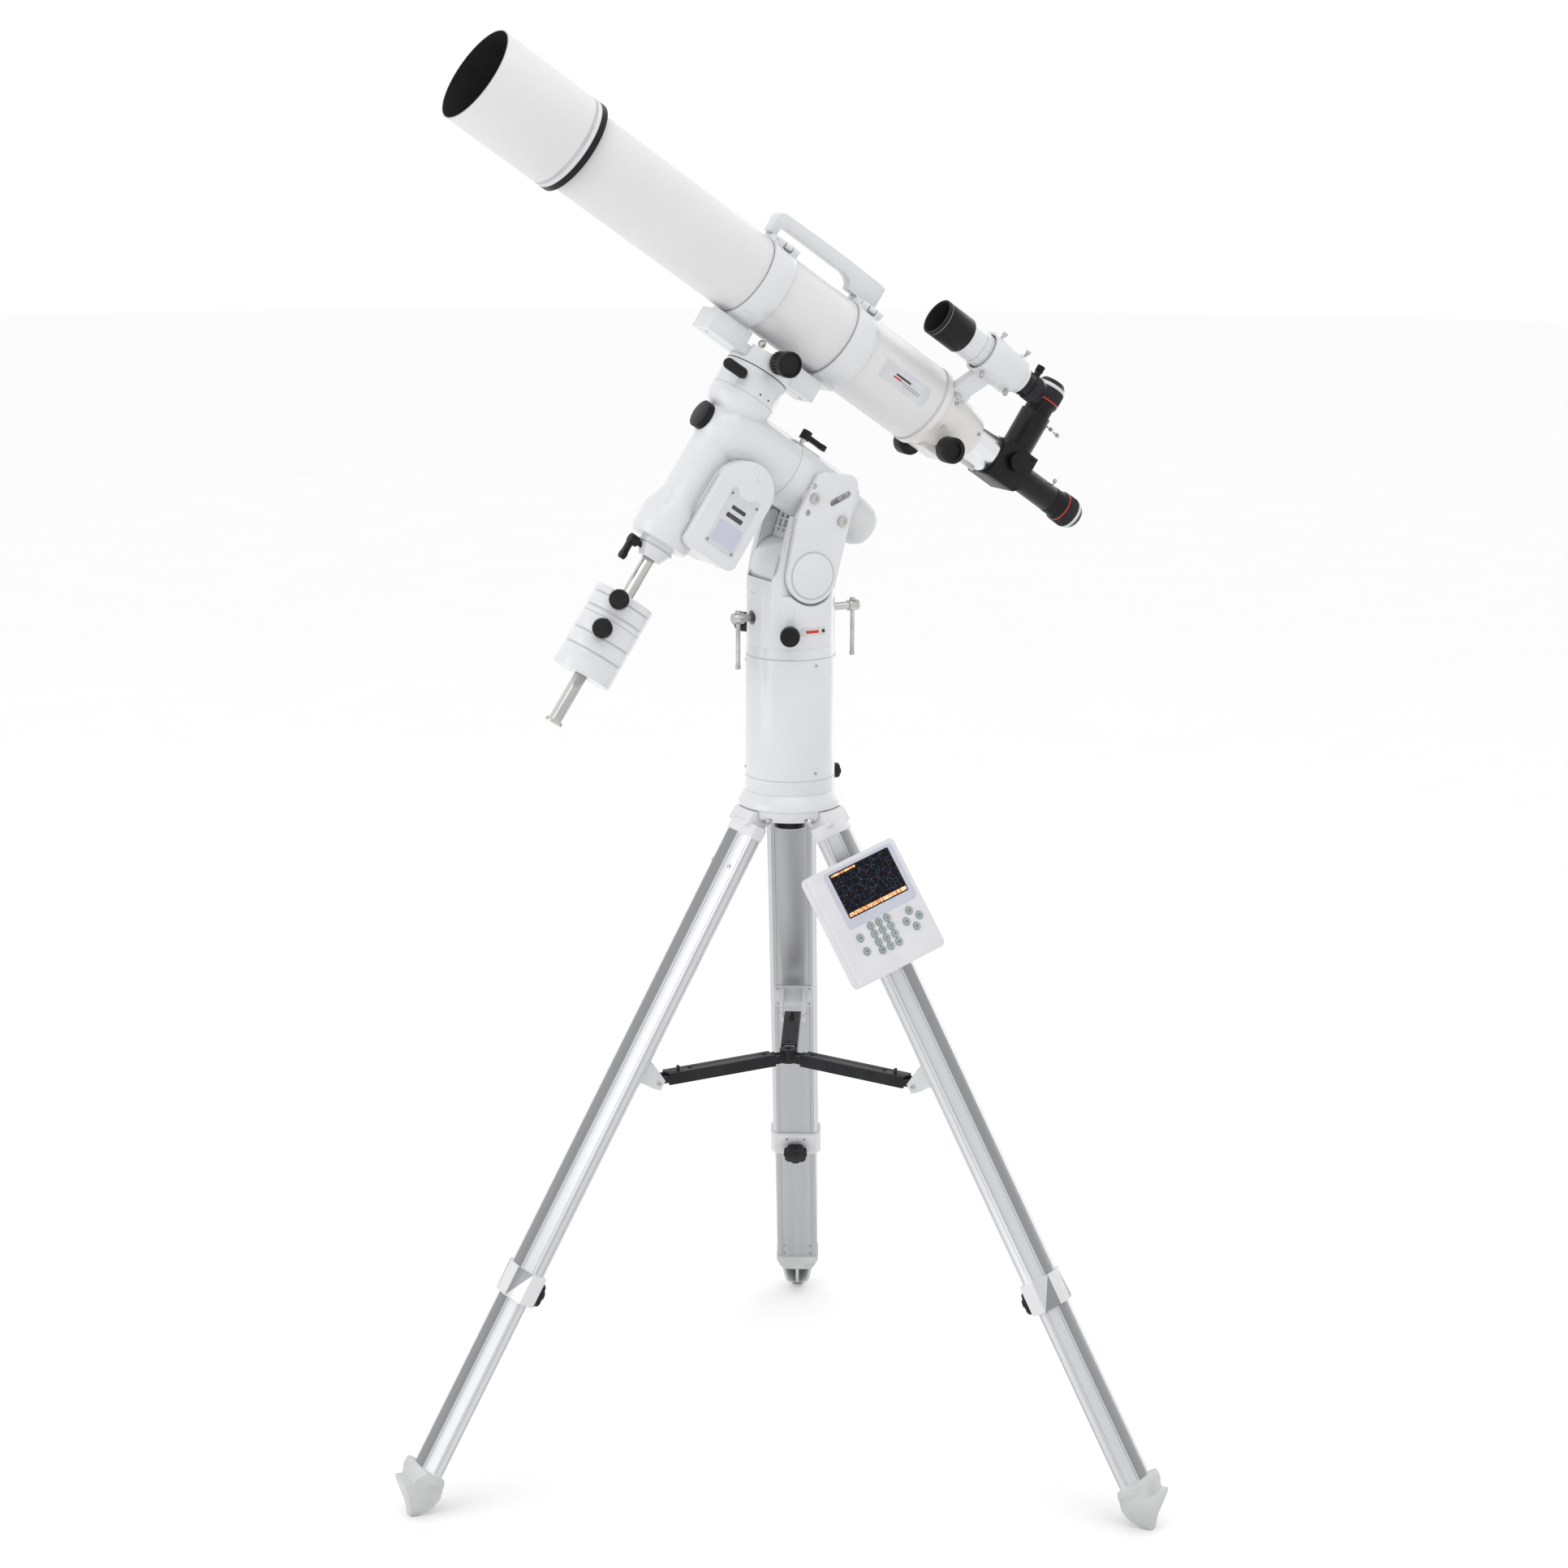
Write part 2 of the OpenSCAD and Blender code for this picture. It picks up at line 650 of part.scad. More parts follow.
// One half of a tube ring; the fixed half carries the foot, the lid carries the pad
module ring_half(z, lid) {
  side = lid ? 1 : -1;
  translate([0, 0, z - ring_w / 2]) difference() {
    union() {
      difference() {
        union() {
          cylinder(r = ring_r, h = ring_w);
          if (lid) block([50, -14, 0], [72, 14, ring_w]);
          if (!lid) block([bar_top - tube_off, -20, 0], [-52, 20, ring_w]);
        }
        rotate([0, 0, lid_angle]) block([-90, side * 0.3 - (side > 0 ? 90 : 0), -1],
          [90, side * 0.3 + (side > 0 ? 0 : 90), ring_w + 1]);
      }
      rotate([0, 0, lid_angle]) block([-98, lid ? 0.3 : -8, 22], [-60, lid ? 8 : -0.3, 38]);
      rotate([0, 0, lid_angle]) for (k = lid ? [14] : [0, 28])
        translate([0, 0, k + 0.2]) {
          translate([ring_hinge_r, 0, 0]) cylinder(r = 5, h = 11.6);
          block([62, lid ? 0.3 : -5, 0], [ring_hinge_r, lid ? 5 : -0.3, 11.6]);
        }
    }
    translate([0, 0, -1]) cylinder(r = tube_r + gap, h = ring_w + 2);
    rotate([0, 0, lid_angle]) translate([ring_hinge_r, 0, -1]) cylinder(r = 2 + (lid ? fit : 0), h = ring_w + 2);
    rotate([0, 0, lid_angle]) translate([-90, 0, 30]) rod_y(3.3, -20, 20);
    rotate([0, 0, lid_angle]) translate([0, 0, 13.4]) if (!lid)
      block([58, -9, 0], [80, 9, 12.8]);
    rotate([0, 0, lid_angle]) if (lid) for (k = [-1, 26.4])
      translate([ring_hinge_r - 5.5, -5.5, k]) cube([12, 11, 15]);
  }
}

module tube_rings() tube() {
  color(white) for (z = ring_s) ring_half(z, false);
  color(steel) for (z = ring_s) rotate([0, 0, lid_angle]) translate([ring_hinge_r, 0, 0])
    rod(2, z - ring_w / 2, z + ring_w / 2);
}

// Lids of the two rings, each with its clamp screw
module ring_lids() tube() {
  color(white) for (z = ring_s) ring_half(z, true);
  for (z = ring_s) rotate([0, 0, lid_angle]) translate([-90, 0, z + 10]) {
    color(steel) rod_y(3, -6, 9);
    color(black) rod_y(9.5, 9, 23);
  }
}

module carry_handle() color(white) tube() {
  rotate([90, 0, 0]) translate([0, 0, -10]) linear_extrude(20)
    polygon([[72, -111], [106.5, -111], [108.5, -100], [109.5, -40], [109.5, 10], [107.5, 92], [104, 101],
      [97, 104], [72, 103], [72, 90], [84, 89], [88, 84], [89, 77], [89, -38], [86, -48], [80, -55],
      [72, -57]]);
}

module main_tube() color(white) tube() pipe(tube_r, tube_r - 2, tube_rear, 445);

module objective_cell() color(black) tube() difference() {
  union() {
    rod(69.3, cell_rear + 9, 470);
    rod(69.3, cell_rear, cell_rear + 9);
  }
  rod(57.6, 444, 472);
  rod(52, 430, 472);
  rod(tube_r, cell_rear - 1, 445);
}

module objective_lens() color("#9fb8c8", 0.5) tube() rotate_extrude()
  polygon(concat([[0, 448], [57.6, 448]],
    [for (k = [6 : -1 : 0]) [57.6 * k / 6, 460 + 5 * (1 - pow(k / 6, 2))]]));

module dew_shield() color(white) tube() difference() {
  union() {
    rod(shield_r, shield_rear, shield_front);
  }
  rod(shield_r - 2.2, shield_rear + 6, shield_front + 1);
  rod(tube_r + 0.5, shield_rear - 1, shield_rear + 7);
}

module focuser_body() color(white) tube() difference() {
  union() {
    rod(64, tube_rear - 10, tube_rear);
    rod(tube_r - 2, tube_rear, tube_rear + 14);
    translate([0, 0, focuser_rear]) cylinder(r1 = 37, r2 = 60, h = tube_rear - 9 - focuser_rear);
    block([pinion_x - 11, -24, pinion_s - 22], [-30, 24, pinion_s + 24]);
  }
  rod(draw_r + gap, focuser_rear - 1, tube_rear - 8);
  translate([0, 0, tube_rear - 40]) cylinder(r1 = draw_r + gap, r2 = 56, h = 60);
  translate([pinion_x, 0, pinion_s]) {
    rod_y(3 + fit, -30, 30);
    rod_y(9, -7, 7);
  }
  block([-42, -6, focuser_rear - 1], [-28, 6, tube_rear]);
}

module drawtube() tube() {
  color("#c9ccd2") difference() {
    rod(draw_r, -412, -240);
    rod(draw_r - 4, -413, -239);
    block([-34, -4, -405], [-30.4, 4, -239]);
  }
  color(steel) block([-36, -3.9, -405], [-30.5, 3.9, -242]);
}

module focus_knobs() tube() translate([pinion_x, 0, pinion_s]) {
  color(steel) rod_y(3, -66, 66);
  color(steel) rod_y(8.5, -6, 6);
  for (s = [-1, 1]) color(black) difference() {
    rod_y(20, s * 54, s * 74);
    rod_y(14, s * 68, s * 75);
    rod_y(2.9, s * 50, s * 67);
  }
}

module finder_bracket() color(white) tube() {
  difference() {
    union() {
      translate([finder_x, finder_y, 0]) pipe(34, 29.5, -344, -277);
      hull() {
        translate([34, -46, -304]) rotate([0, 0, -30]) cube([8, 18, 26]);
        translate([78, -68, -318]) rotate([0, 0, -20]) cube([6, 16, 30]);
      }
      translate([34, -46, 0]) rotate([0, 0, -34]) block([-4, 0, -308], [9, 22, -276]);
    }
    translate([finder_x, finder_y, 0]) rod(29.5, -350, -270);
    translate([0, 0, focuser_rear]) cylinder(r1 = 37.05, r2 = 60.05, h = tube_rear - 9 - focuser_rear);
    rod(64.05, tube_rear - 10, tube_rear + 1);
  }
  for (z = [-285, -336], a = [90, 210, 330]) translate([finder_x, finder_y, z]) rotate([0, 0, a])
    rod_x(2, 27.1, 42);
}

module finder_scope() tube() translate([finder_x, finder_y, 0]) {
  color(white) rotate_extrude() polygon([[0, -360], [23, -360], [23, -353], [27, -351], [27, -236], [29, -233],
    [29, -180], [26, -180], [26, -230], [0, -234]]);
  color(black) rotate_extrude() polygon([[0, -360], [0, -392], [9, -398], [12, -400], [19, -399], [19.5, -390],
    [19.5, -372], [20.5, -370], [20.5, -360]]);
  color(black) translate([0, 0, -381]) rod_x(5.5, 19, 36);
}

// Black box behind the drawtube with a straight port and a side port
module flip_mirror_box() color(black) tube() difference() {
  union() {
    rod(32.5, -418, -412);
    block([-box_half, -box_half, -480], [box_half, box_half, -416]);
    rod(21, -552, -479);
    translate([0, 0, up_port_s]) rod_x(24.5, box_half - 1, 96);
  }
  rod(25, -420, -411);
  block([-28, -28, -476], [28, 28, -420]);
  rod(16.2, -553, -470);
  translate([0, 0, up_port_s]) rod_x(16.2, 20, 97);
  translate([10, 0, box_s]) rod_y(3 + fit, -40, 40);
  translate([-box_half, 0, -480]) rotate([0, 45, 0]) cube([16, 80, 16], center = true);
}

// First-surface mirror on its axle, with the knob outside the box
module flip_mirror() tube() translate([10, 0, box_s]) {
  color(black) rod_y(3, -34, 30);
  color(black) rod_y(14.5, -33, -41);
  color("#c8d4dc") block([2, -24, -10], [6, 24, 25]);
}

// One straight and one upright eyepiece, each with its barrel in the port
module eyepieces() tube() {
  color(black) eyepiece();
  color(black) translate([0, 0, up_port_s]) rotate([0, -90, 0]) translate([0, 0, 456]) eyepiece();
}

module eyepiece() rotate_extrude() polygon([[10, -530], [16, -530], [16, -552], [21.5, -552], [21.5, -566],
  [24.5, -572], [24.5, -596], [22, -604], [18, -610], [9, -610], [9, -600], [10, -598]]);

// Hand controller ---------------------------------------------------------------

module controller_case() color(white) controller() {
  difference() {
    translate([0, 0, -14]) linear_extrude(14) round_rect(ctrl_w, ctrl_h, 9);
    translate([8, 44, -3]) linear_extrude(4) round_rect(112.4, 70.4, 2);
    key_places() translate([0, 0, -10]) cylinder(r = 6.4, h = 12);
    translate([0, 0, -15]) linear_extrude(11) round_rect(ctrl_w - 6, ctrl_h - 6, 7);
  }
  difference() {
    translate([0, 0, -ctrl_d]) linear_extrude(ctrl_d - 14.2) round_rect(ctrl_w, ctrl_h, 9);
    translate([0, 0, -ctrl_d + 3]) linear_extrude(ctrl_d) round_rect(ctrl_w - 6, ctrl_h - 6, 7);
  }
  difference() {
    block([29, 22, -ctrl_d - 12], [47, 40, -ctrl_d]);
    translate([38, 0, -ctrl_d - 6]) rod_y(4 + fit, 20, 45);
  }
}

// Display window with the panel behind it
module controller_screen() color("#10131a") controller() translate([8, 44, -3])
  linear_extrude(2.6) round_rect(112, 70, 2);

module number_places() for (col = [0 : 2], row = [0 : 3])
  translate([-22.4 + 15.8 * col, -14.9 - 13.35 * row, 0]) children();

module navigation_places() {
  for (a = [0 : 90 : 270]) translate([49.2 + 12.5 * cos(a), -33.2 + 13 * sin(a), 0]) children();
  for (y = [-24.4, -46.4]) translate([-47.6, y, 0]) children();
}

module key_places() {
  number_places() children();
  navigation_places() children();
}

// Rubber key with the membrane that joins a group behind the case
module key() {
  translate([0, 0, -6.2]) cylinder(r = 6, h = 7.4);
}

module number_keys() color("#8f9a94") controller() {
  number_places() key();
  block([-30, -62.5, -7.4], [17, -7.5, -6.1]);
}

module navigation_keys() color("#8f9a94") controller() {
  navigation_places() key();
  block([29, -54, -7.4], [69.5, -12.5, -6.1]);
  block([-55, -54, -7.4], [-40, -17, -6.1]);
}

tripod_head();
leg_hinge_bolts();
pillar();
pillar_lock_knob();
centre_bolt();
leg_1_upper();
leg_2_upper();
leg_3_upper();
leg_1_lower();
leg_2_lower();
leg_3_lower();
leg_1_knob();
leg_2_knob();
leg_3_knob();
brace_hub();
brace_arm_1();
brace_arm_2();
brace_arm_3();
mount_base();
azimuth_knob_near();
azimuth_knob_far();
altitude_screw_north();
altitude_screw_south();
polar_housing();
side_plates();
side_plate_fasteners();
polar_rear_cap();
ra_body();
motor_cover();
polar_front_cap();
ra_clamp_lever();
dec_clamp_lever();
bar_clamp_lever();
counterweight_bar();
weight_upper();
weight_lower();
weight_upper_knob();
weight_lower_knob();
dec_head();
saddle_knob();
slide_bar();
tube_rings();
ring_lids();
carry_handle();
main_tube();
objective_cell();
objective_lens();
dew_shield();
focuser_body();
drawtube();
focus_knobs();
finder_bracket();
finder_scope();
flip_mirror_box();
flip_mirror();
eyepieces();
controller_case();
controller_screen();
number_keys();
navigation_keys();
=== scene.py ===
"""Looks of the telescope on its tripod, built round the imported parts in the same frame."""

import math

import bmesh
import bpy
from mathutils import Matrix, Vector


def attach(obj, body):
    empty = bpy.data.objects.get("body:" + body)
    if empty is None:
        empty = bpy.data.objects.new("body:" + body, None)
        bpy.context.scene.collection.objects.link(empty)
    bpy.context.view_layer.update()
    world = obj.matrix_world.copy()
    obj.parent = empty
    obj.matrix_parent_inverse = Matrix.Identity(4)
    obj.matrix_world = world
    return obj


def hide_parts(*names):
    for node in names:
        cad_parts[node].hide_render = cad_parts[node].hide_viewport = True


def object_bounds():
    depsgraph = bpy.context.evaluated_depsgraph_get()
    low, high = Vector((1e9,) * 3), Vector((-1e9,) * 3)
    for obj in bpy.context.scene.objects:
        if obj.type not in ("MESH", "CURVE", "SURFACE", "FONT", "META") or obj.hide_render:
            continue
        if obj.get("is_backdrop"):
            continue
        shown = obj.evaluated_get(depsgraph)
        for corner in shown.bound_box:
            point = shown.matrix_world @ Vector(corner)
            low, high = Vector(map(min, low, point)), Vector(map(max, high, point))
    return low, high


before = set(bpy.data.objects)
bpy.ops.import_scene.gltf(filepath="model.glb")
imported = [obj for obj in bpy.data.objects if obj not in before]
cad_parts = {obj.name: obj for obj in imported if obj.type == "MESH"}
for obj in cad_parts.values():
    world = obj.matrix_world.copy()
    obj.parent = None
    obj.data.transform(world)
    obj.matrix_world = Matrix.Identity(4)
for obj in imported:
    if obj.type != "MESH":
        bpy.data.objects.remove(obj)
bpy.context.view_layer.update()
MM = 0.001
SEGMENTS = 96
SHARP_ANGLE = 32    # degrees: an edge sharper than this stays an edge
SINK = 0.3          # how far a raised detail reaches below the surface it lies on
TUBE_RADIUS = 62.5
DEW_RADIUS = 72.5
PILLAR_RADIUS = 68.3
NECK_RADIUS = 50    # the polar and the declination neck
FINDER_X, FINDER_Y = 107, -66
LEG_FACE = 9.7      # the outer face of an upper leg
LEG_HALF_WIDTH = 38
LOWER_INSET = 2.5   # how much smaller the lower leg is on each side
PLATE_Z = 1314      # the small plate on the mount's base
PLATE_ANGLE = -120
SCREEN_X, SCREEN_Y = 8, 44
KEY_TOP = 1.2
# painted shade in crevices: how much colours darken where surfaces meet, and over what distance
CREVICE_SHADE_AMOUNT = 0.3
CREVICE_SHADE_REACH = 0.004  # metres
WORLD_STRENGTH = 0.9
EXPOSURE = 0.2
# the camera that the photograph was taken with, solved together with the model; in metres
LENS_MM = 72.82
CAMERA_SHIFT = (-0.0038, -0.002)
CAMERA_PLACE = (-2.1799, -4.1748, 2.1433)
CAMERA_AIM = (0.0715, 0, 1.0718)
CAMERA_ROLL = 0.3

# ---------------------------------------------------------------- frames
# Each frame is in millimetres and matches the frames of the CAD source.


def move(x, y, z):
    return Matrix.Translation((x, y, z))


def turn(angle, axis):
    return Matrix.Rotation(math.radians(angle), 4, axis)


LATITUDE = 34.0
PILLAR = move(71.5, 0, 0)
PIVOT = PILLAR @ move(3, 0, 1398)
POLAR = move(71.5 - 114.5, 0, 1615.7) @ turn(LATITUDE - 90, "Y")
DEC = POLAR @ turn(90, "Y")
TUBE = POLAR @ move(208, 0, 0)
FINDER = TUBE @ move(FINDER_X, FINDER_Y, 0)
UPRIGHT = TUBE @ move(0, 0, -454) @ turn(-90, "Y") @ move(0, 0, 456)
LEG_DIRECTIONS = (60, 180, 300)
LEG = [PILLAR @ turn(a, "Z") @ move(60, 0, 1024) @ turn(150, "Y") for a in LEG_DIRECTIONS]
CONTROLLER = PILLAR @ move(46, -194, 906) @ turn(63.3, "X") @ turn(16.5, "Z")
ALONG_Y = turn(-90, "X")
AGAINST_Y = turn(90, "X")
ALONG_X = turn(90, "Y")

# ---------------------------------------------------------------- materials


def nodes_of(name):
    mat = bpy.data.materials.new(name)
    mat.use_nodes = True
    tree = mat.node_tree
    return mat, tree, tree.nodes["Principled BSDF"]


def coordinates(tree, place=None, stretch=(1, 1, 1)):
    """Object coordinates, turned into a frame and stretched along its axes."""
    coord = tree.nodes.new("ShaderNodeTexCoord")
    mapping = tree.nodes.new("ShaderNodeMapping")
    mapping.vector_type = "TEXTURE"
    if place is not None:
        mapping.inputs["Location"].default_value = place.to_translation() * MM
        mapping.inputs["Rotation"].default_value = place.to_euler()
    mapping.inputs["Scale"].default_value = stretch
    tree.links.new(coord.outputs["Object"], mapping.inputs["Vector"])
    return mapping.outputs["Vector"]


def noise(tree, vector, scale, detail=3.0):
    n = tree.nodes.new("ShaderNodeTexNoise")
    n.inputs["Scale"].default_value = scale
    n.inputs["Detail"].default_value = detail
    tree.links.new(vector, n.inputs["Vector"])
    return n.outputs["Fac"]


def ramp(tree, factor, stops):
    r = tree.nodes.new("ShaderNodeValToRGB")
    while len(r.color_ramp.elements) < len(stops):
        r.color_ramp.elements.new(0.5)
    for element, (position, colour) in zip(r.color_ramp.elements, stops):
        element.position = position
        element.color = (*colour, 1)
    tree.links.new(factor, r.inputs["Fac"])
    return r.outputs["Color"]


def spread(tree, factor, low, high):
    m = tree.nodes.new("ShaderNodeMapRange")
    m.inputs["From Min"].default_value = 0.3
    m.inputs["From Max"].default_value = 0.7
    m.inputs["To Min"].default_value = low
    m.inputs["To Max"].default_value = high
    tree.links.new(factor, m.inputs["Value"])
    return m.outputs["Result"]


def relief(tree, shader, height, distance):
    b = tree.nodes.new("ShaderNodeBump")
    b.inputs["Distance"].default_value = distance
    b.inputs["Strength"].default_value = 1.0
    tree.links.new(height, b.inputs["Height"])
    tree.links.new(b.outputs["Normal"], shader.inputs["Normal"])


def painted_crevice_shade(tree, colour, tint):
    """Paints shade into a colour: darkens it a little where surfaces meet, by ambient occlusion."""
    ao = tree.nodes.new("ShaderNodeAmbientOcclusion")
    ao.inputs["Distance"].default_value = CREVICE_SHADE_REACH
    ao.samples = 4
    m = tree.nodes.new("ShaderNodeMapRange")
    m.inputs["From Min"].default_value = 0.25
    m.inputs["From Max"].default_value = 0.85
    m.inputs["To Min"].default_value = CREVICE_SHADE_AMOUNT
    m.inputs["To Max"].default_value = 0.0
    tree.links.new(ao.outputs["AO"], m.inputs["Value"])
    mix = tree.nodes.new("ShaderNodeMix")
    mix.data_type = "RGBA"
    mix.inputs["B"].default_value = (*tint, 1)
    tree.links.new(m.outputs["Result"], mix.inputs["Factor"])
    tree.links.new(colour, mix.inputs["A"])
    return mix.outputs["Result"]


def finish(name, light, dark, rough, grain=30.0, bump=0.0, bump_grain=900.0, metal=0.0, coat=0.0,
           place=None, stretch=(1, 1, 1), crevice_shade=None, shine=0.5):
    """A surface whose colour, roughness and relief vary over it.

    The colour wanders between light and dark at the scale of grain, the roughness between the
    two numbers of rough at the scale of bump_grain, and bump is the depth of relief in metres.
    """
    mat, tree, shader = nodes_of(name)
    vector = coordinates(tree, place, stretch)
    broad = noise(tree, vector, grain)
    fine = noise(tree, vector, bump_grain, 2.0)
    colour = ramp(tree, broad, [(0.35, dark), (0.65, light)])
    # painted shade: darkens the colour where surfaces meet
    if crevice_shade:
        colour = painted_crevice_shade(tree, colour, crevice_shade)
    tree.links.new(colour, shader.inputs["Base Color"])
    tree.links.new(spread(tree, fine, *rough), shader.inputs["Roughness"])
    if bump:
        relief(tree, shader, fine, bump)
    shader.inputs["Metallic"].default_value = metal
    shader.inputs["Specular IOR Level"].default_value = shine
    if coat:
        shader.inputs["Coat Weight"].default_value = coat
        shader.inputs["Coat Roughness"].default_value = 0.08
    return mat


# painted shade: the grey that colours darken towards where surfaces meet
CREVICE_SHADE_GREY = (0.3, 0.3, 0.31)
enamel = finish("white_enamel", (0.64, 0.647, 0.668), (0.62, 0.627, 0.648), (0.2, 0.3), 9, 0.00002,
                420, coat=0.5, crevice_shade=CREVICE_SHADE_GREY)
tube_paint = finish("tube_enamel", (0.66, 0.656, 0.66), (0.64, 0.636, 0.64), (0.3, 0.4), 7, 0.00002,
                    500, coat=0.25, crevice_shade=CREVICE_SHADE_GREY)
cream = finish("focuser_enamel", (0.67, 0.665, 0.65), (0.65, 0.645, 0.63), (0.28, 0.38), 9, 0.00002,
               500, coat=0.25, crevice_shade=CREVICE_SHADE_GREY)
casting = finish("casting_enamel", (0.66, 0.66, 0.67), (0.63, 0.63, 0.64), (0.35, 0.5), 14, 0.00006,
                 700, crevice_shade=CREVICE_SHADE_GREY)
grey_cap = finish("grey_moulding", (0.6, 0.61, 0.62), (0.57, 0.58, 0.59), (0.35, 0.45), 20, 0.00003,
                  900, crevice_shade=CREVICE_SHADE_GREY)
foot_grey = finish("foot_moulding", (0.55, 0.56, 0.56), (0.48, 0.49, 0.49), (0.5, 0.65), 25,
                   0.00012, 400, crevice_shade=(0.2, 0.2, 0.19))
satin_black = finish("satin_black", (0.01, 0.01, 0.011), (0.006, 0.006, 0.007), (0.3, 0.42), 25,
                     0.00003, 900, shine=0.2)
flat_black = finish("flat_black", (0.014, 0.014, 0.015), (0.009, 0.009, 0.01), (0.7, 0.9), 30,
                    0.00008, 600, shine=0.2)
knob_black = finish("knob_black", (0.012, 0.012, 0.013), (0.007, 0.007, 0.008), (0.34, 0.5), 40,
                    0.00005, 1200, shine=0.2)
brace_black = finish("brace_black", (0.016, 0.017, 0.018), (0.01, 0.01, 0.011), (0.36, 0.5), 30,
                     0.00006, 900, shine=0.2)
rubber_black = finish("grip_rubber", (0.03, 0.03, 0.033), (0.02, 0.02, 0.022), (0.6, 0.8), 60,
                      0.0001, 1500, shine=0.2)
red_anodise = finish("red_ring", (0.5, 0.03, 0.02), (0.38, 0.02, 0.015), (0.3, 0.4), 60, 0.00002,
                     900, metal=0.3)
steel = finish("turned_steel", (0.56, 0.55, 0.53), (0.42, 0.41, 0.4), (0.16, 0.3), 60, 0.00002,
               1600, metal=1.0)
bar_steel = finish("bar_steel", (0.62, 0.61, 0.59), (0.44, 0.43, 0.42), (0.1, 0.22), 40, 0.00002,
                   900, metal=1.0, place=DEC, stretch=(1, 1, 20))
drawn_tube = finish("drawtube_aluminium", (0.8, 0.81, 0.83), (0.68, 0.69, 0.71), (0.2, 0.32), 40,
                    0.00002, 900, metal=1.0, place=TUBE, stretch=(1, 1, 16))
plate_silver = finish("plate_silver", (0.6, 0.61, 0.63), (0.54, 0.55, 0.57), (0.4, 0.55), 50,
                      0.00003, 1500, metal=0.25)
ink_dark = finish("dark_ink", (0.05, 0.05, 0.055), (0.03, 0.03, 0.035), (0.4, 0.55), 80, 0.00001,
                  900)
ink_red = finish("red_ink", (0.55, 0.03, 0.03), (0.45, 0.02, 0.02), (0.4, 0.5), 80, 0.00001, 900)
# painted shadow: a dark grey for the shade in seams and grooves and along ring edges; two thin
# printed bars on the tube label use it as print
seam_shadow_and_print_grey = finish("seam_shadow", (0.26, 0.26, 0.27), (0.2, 0.2, 0.21), (0.6, 0.8), 60, 0.00002,
                   900)
stripe_grey = finish("stripe_grey", (0.47, 0.48, 0.5), (0.42, 0.43, 0.45), (0.35, 0.45), 40,
                     0.00001, 900)
case_white = finish("controller_moulding", (0.65, 0.65, 0.675), (0.62, 0.62, 0.645), (0.38, 0.5),
                    25, 0.00005, 1400, crevice_shade=CREVICE_SHADE_GREY)
bezel = finish("bezel_lavender", (0.5, 0.51, 0.6), (0.47, 0.48, 0.56), (0.3, 0.4), 30, 0.00002,
               1400)
key_grey = finish("key_silicone", (0.3, 0.35, 0.34), (0.26, 0.31, 0.3), (0.4, 0.55), 60, 0.00004,
                  1500)
mirror = finish("mirror_coating", (0.9, 0.92, 0.93), (0.85, 0.87, 0.89), (0.02, 0.05), 20,
                metal=1.0)


def anodised(name, place, light, dark):
    return finish(name, light, dark, (0.28, 0.33), 60, 0.000006, 700, metal=0.8, place=place,
                  stretch=(1, 1, 50))


leg_metal = [anodised(f"leg_{i + 1}_anodised", LEG[i], (0.6, 0.605, 0.625), (0.565, 0.57, 0.59))
             for i in range(3)]
# painted shade: darker copies of the anodised leg metal, given to the leg faces that are to look
# shaded
leg_painted_shade = [anodised(f"leg_{i + 1}_shaded", LEG[i], (0.27, 0.275, 0.285), (0.245, 0.25, 0.26))
            for i in range(3)]
leg_inner_painted_shade = [anodised(f"leg_{i + 1}_inner", LEG[i], (0.46, 0.465, 0.48), (0.42, 0.425, 0.44))
             for i in range(3)]


def lens_material():
    mat, tree, shader = nodes_of("coated_lens")
    vector = coordinates(tree)
    haze = noise(tree, vector, 60)
    tree.links.new(ramp(tree, haze, [(0.3, (0.75, 0.86, 0.84)), (0.7, (0.82, 0.9, 0.9))]),
                   shader.inputs["Base Color"])
    tree.links.new(spread(tree, haze, 0.01, 0.04), shader.inputs["Roughness"])
    shader.inputs["Transmission Weight"].default_value = 0.9
    shader.inputs["IOR"].default_value = 1.5
    return mat


def display_material():
    """A dark star chart: coloured points and thin lines on near black."""
    mat, tree, shader = nodes_of("star_chart")
    vector = coordinates(tree, CONTROLLER)
    stars = tree.nodes.new("ShaderNodeTexVoronoi")
    stars.inputs["Scale"].default_value = 260
    tree.links.new(vector, stars.inputs["Vector"])
    dots = ramp(tree, stars.outputs["Distance"], [(0.12, (1, 1, 1)), (0.22, (0, 0, 0))])
    tint = tree.nodes.new("ShaderNodeMix")
    tint.data_type = "RGBA"
    tint.blend_type = "MULTIPLY"
    tint.inputs["Factor"].default_value = 1.0
    tree.links.new(dots, tint.inputs["A"])
    tree.links.new(stars.outputs["Color"], tint.inputs["B"])
    cells = tree.nodes.new("ShaderNodeTexVoronoi")
    cells.feature = "DISTANCE_TO_EDGE"
    cells.inputs["Scale"].default_value = 75
    tree.links.new(vector, cells.inputs["Vector"])
    lines = ramp(tree, cells.outputs["Distance"],
                 [(0.0, (0.03, 0.05, 0.11)), (0.02, (0.004, 0.004, 0.006))])
    glow = tree.nodes.new("ShaderNodeMix")
    glow.data_type = "RGBA"
    glow.blend_type = "ADD"
    glow.inputs["Factor"].default_value = 0.55
    tree.links.new(lines, glow.inputs["A"])
    tree.links.new(tint.outputs["Result"], glow.inputs["B"])
    tree.links.new(glow.outputs["Result"], shader.inputs["Emission Color"])
    shader.inputs["Emission Strength"].default_value = 0.5
    tree.links.new(lines, shader.inputs["Base Color"])
    tree.links.new(spread(tree, noise(tree, vector, 300), 0.2, 0.3), shader.inputs["Roughness"])
    shader.inputs["Specular IOR Level"].default_value = 0.08
    return mat


